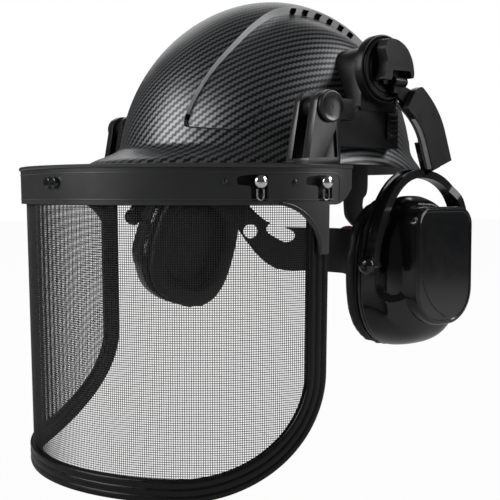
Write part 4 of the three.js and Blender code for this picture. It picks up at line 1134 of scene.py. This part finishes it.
def build_harness():
    section = [(-0.2, -13.5), (-0.2, 13.5), (-1.0, 13.9), (-2.4, 12.6), (-3.1, 9), (-3.3, 3), (-3.3, -3),
               (-3.1, -9),
               (-2.4, -12.6), (-1.0, -13.9)]
    rings = []
    for k, turn in enumerate(np.radians(np.linspace(-150, -30, 121))):
        squeeze = min(1, 0.25 + min(k, 120 - k) / 4) * (1 - 0.08 * (k % 10 == 5))
        ring = []
        for out, up in section:
            x, y = head_place(turn, -HEADBAND["thick"] - 0.2 + out * squeeze)
            ring.append((x, y, HEADBAND["z"] + up))
        rings.append(ring)
    band = piece("sweatband_padded", *joined_rings(rings), "helmet", "sweatband_foam", "brushed",
                 nodes=["sweatband"], sharp=70)

    corner = math.atan2(SHELL["b"], SHELL["a"])
    for name, heading, lift in (("lower", corner, 0), ("upper", math.pi - corner, STRAP["step"])):
        rings = []
        for turn in np.radians(np.linspace(-7, 187, 110)):
            ring = []
            half = STRAP["width"] / 2
            section = [(0.15, -half), (0, -half + 0.5), (0, half - 0.5), (0.15, half),
                       (STRAP["thick"] - 0.15, half),
                       (STRAP["thick"], half - 0.5), (STRAP["thick"], -half + 0.5),
                       (STRAP["thick"] - 0.15, -half)]
            for grow, across in section:
                along = (STRAP["reach"] + grow) * math.cos(turn)
                z = (STRAP["top"] - STRAP["centre"] + lift + grow) * math.sin(turn) + STRAP["centre"]
                ring.append((along * math.cos(heading) - across * math.sin(heading),
                             along * math.sin(heading) + across * math.cos(heading), z))
            rings.append(ring)
        piece(f"crown_webbing_{name}", *joined_rings(rings), "helmet", "webbing", "webbing",
              nodes=[f"crown_strap_{name}"], sharp=60)
    for end in ("rear", "front"):
        for side in ("left", "right"):
            refined(f"{end}_{side}_key", "helmet", *HARNESS, 1.0, tuck=3.6)
    refined("headband", "helmet", *HARNESS, 0.5)
    refined("nape_strap", "nape", *HARNESS, 0.5)
    wing = softened(resampled(np.array([(6, 3), (8, -16), (10, -36), (22, -44), (36, -42), (38, -22),
                                        (50, -19),
                                        (60, -9), (66, 3)], float), 2), 4)

    def beside(y, z, out):
        turn = np.arcsin((y - HEADBAND["y"]) / (HEADBAND["b"] + 1.6))
        return np.stack(np.broadcast_arrays((HEADBAND["a"] + out) * np.cos(turn), y, z), -1)

    both("nape_wing", slab(wing, [], beside, 1.9, 4.1), "nape", *HARNESS,
         bevel=0.5, sharp=45)
    refined("ratchet_housing", "nape", *HARNESS, 1.2)
    refined("ratchet_pinion", "knob", *HARNESS, 0.2)
    refined("ratchet_knob", "knob", *HARNESS, 0.8)
    refined("knob_ring", "knob", "knob_accent", "red", 0.4)


build_harness()


# ------------------------------------------------------------ camera, floor and light
TARGET = Vector((0, -25, -57.8)) * MM
AZIMUTH, ELEVATION, DISTANCE = math.radians(51.7), math.radians(3.0), 0.711
LENS = 64.152                   # millimetres, on a sensor 36 mm wide
SHIFT = (0.0136, -0.014)
WHITE_FILL = 0.055              # how much the white surroundings light the helmet


def toward(azimuth, elevation):
    return Vector((math.sin(azimuth) * math.cos(elevation), -math.cos(azimuth) * math.cos(elevation),
                   math.sin(elevation)))


def aim(obj, place, target):
    obj.location = place
    obj.rotation_euler = (target - place).to_track_quat("-Z", "Y").to_euler()


def build_stage():
    scene = bpy.context.scene
    camera = bpy.data.objects.new("camera", bpy.data.cameras.new("camera"))
    scene.collection.objects.link(camera)
    aim(camera, TARGET + toward(AZIMUTH, ELEVATION) * DISTANCE, TARGET)
    camera.data.sensor_width = 36
    camera.data.lens = LENS
    camera.data.shift_x, camera.data.shift_y = SHIFT
    scene.camera = camera

    floor_mesh = bpy.data.meshes.new("floor")
    size, low = 6, cad_box[0][2] - 0.0008
    floor_mesh.from_pydata([(-size, -size, low), (size, -size, low), (size, size, low), (-size, size, low)],
                           [],
                           [(0, 1, 2, 3)])
    material, tree, shader = new_material("floor_paper")
    feed(tree, shader, {"Base Color": blend(tree, noise(tree, 60, 4), (0.5, 0.5, 0.5), (0.56, 0.56, 0.56)),
                        "Roughness": 0.9})
    seen = remap(tree, add(tree, "LightPath", out="Is Camera Ray"), 0, 1, 0, 0.97)
    mixed = add(tree, "MixShader", {0: seen, 1: shader.outputs[0], 2: add(tree, "Emission")})
    tree.links.new(mixed, tree.nodes["Material Output"].inputs["Surface"])
    floor_mesh.materials.append(material)
    floor = bpy.data.objects.new("floor", floor_mesh)
    scene.collection.objects.link(floor)

    for name, azimuth, elevation, away, power, width, height in (
            ("key", -14, 26, 1.5, 16, 0.9, 0.9), ("side", 118, 24, 1.5, 5, 0.5, 1.2),
            ("rear", 145, 38, 1.4, 8, 0.7, 0.6), ("back", 235, 35, 1.8, 5, 1.4, 0.9)):
        lamp = bpy.data.lights.new(name, "AREA")
        lamp.shape, lamp.size, lamp.size_y, lamp.energy = "RECTANGLE", width, height, power
        light = bpy.data.objects.new(name, lamp)
        scene.collection.objects.link(light)
        aim(light, TARGET + toward(math.radians(azimuth), math.radians(elevation)) * away, TARGET)

    world = bpy.data.worlds.new("studio")
    scene.world = world
    world.use_nodes = True
    tree = world.node_tree
    seen = remap(tree, add(tree, "LightPath", out="Is Camera Ray"), 0, 1, WHITE_FILL, 1.0)
    feed(tree, tree.nodes["Background"], {"Strength": seen, "Color": (1, 1, 1)})
    scene.view_settings.view_transform = "Standard"


build_stage()
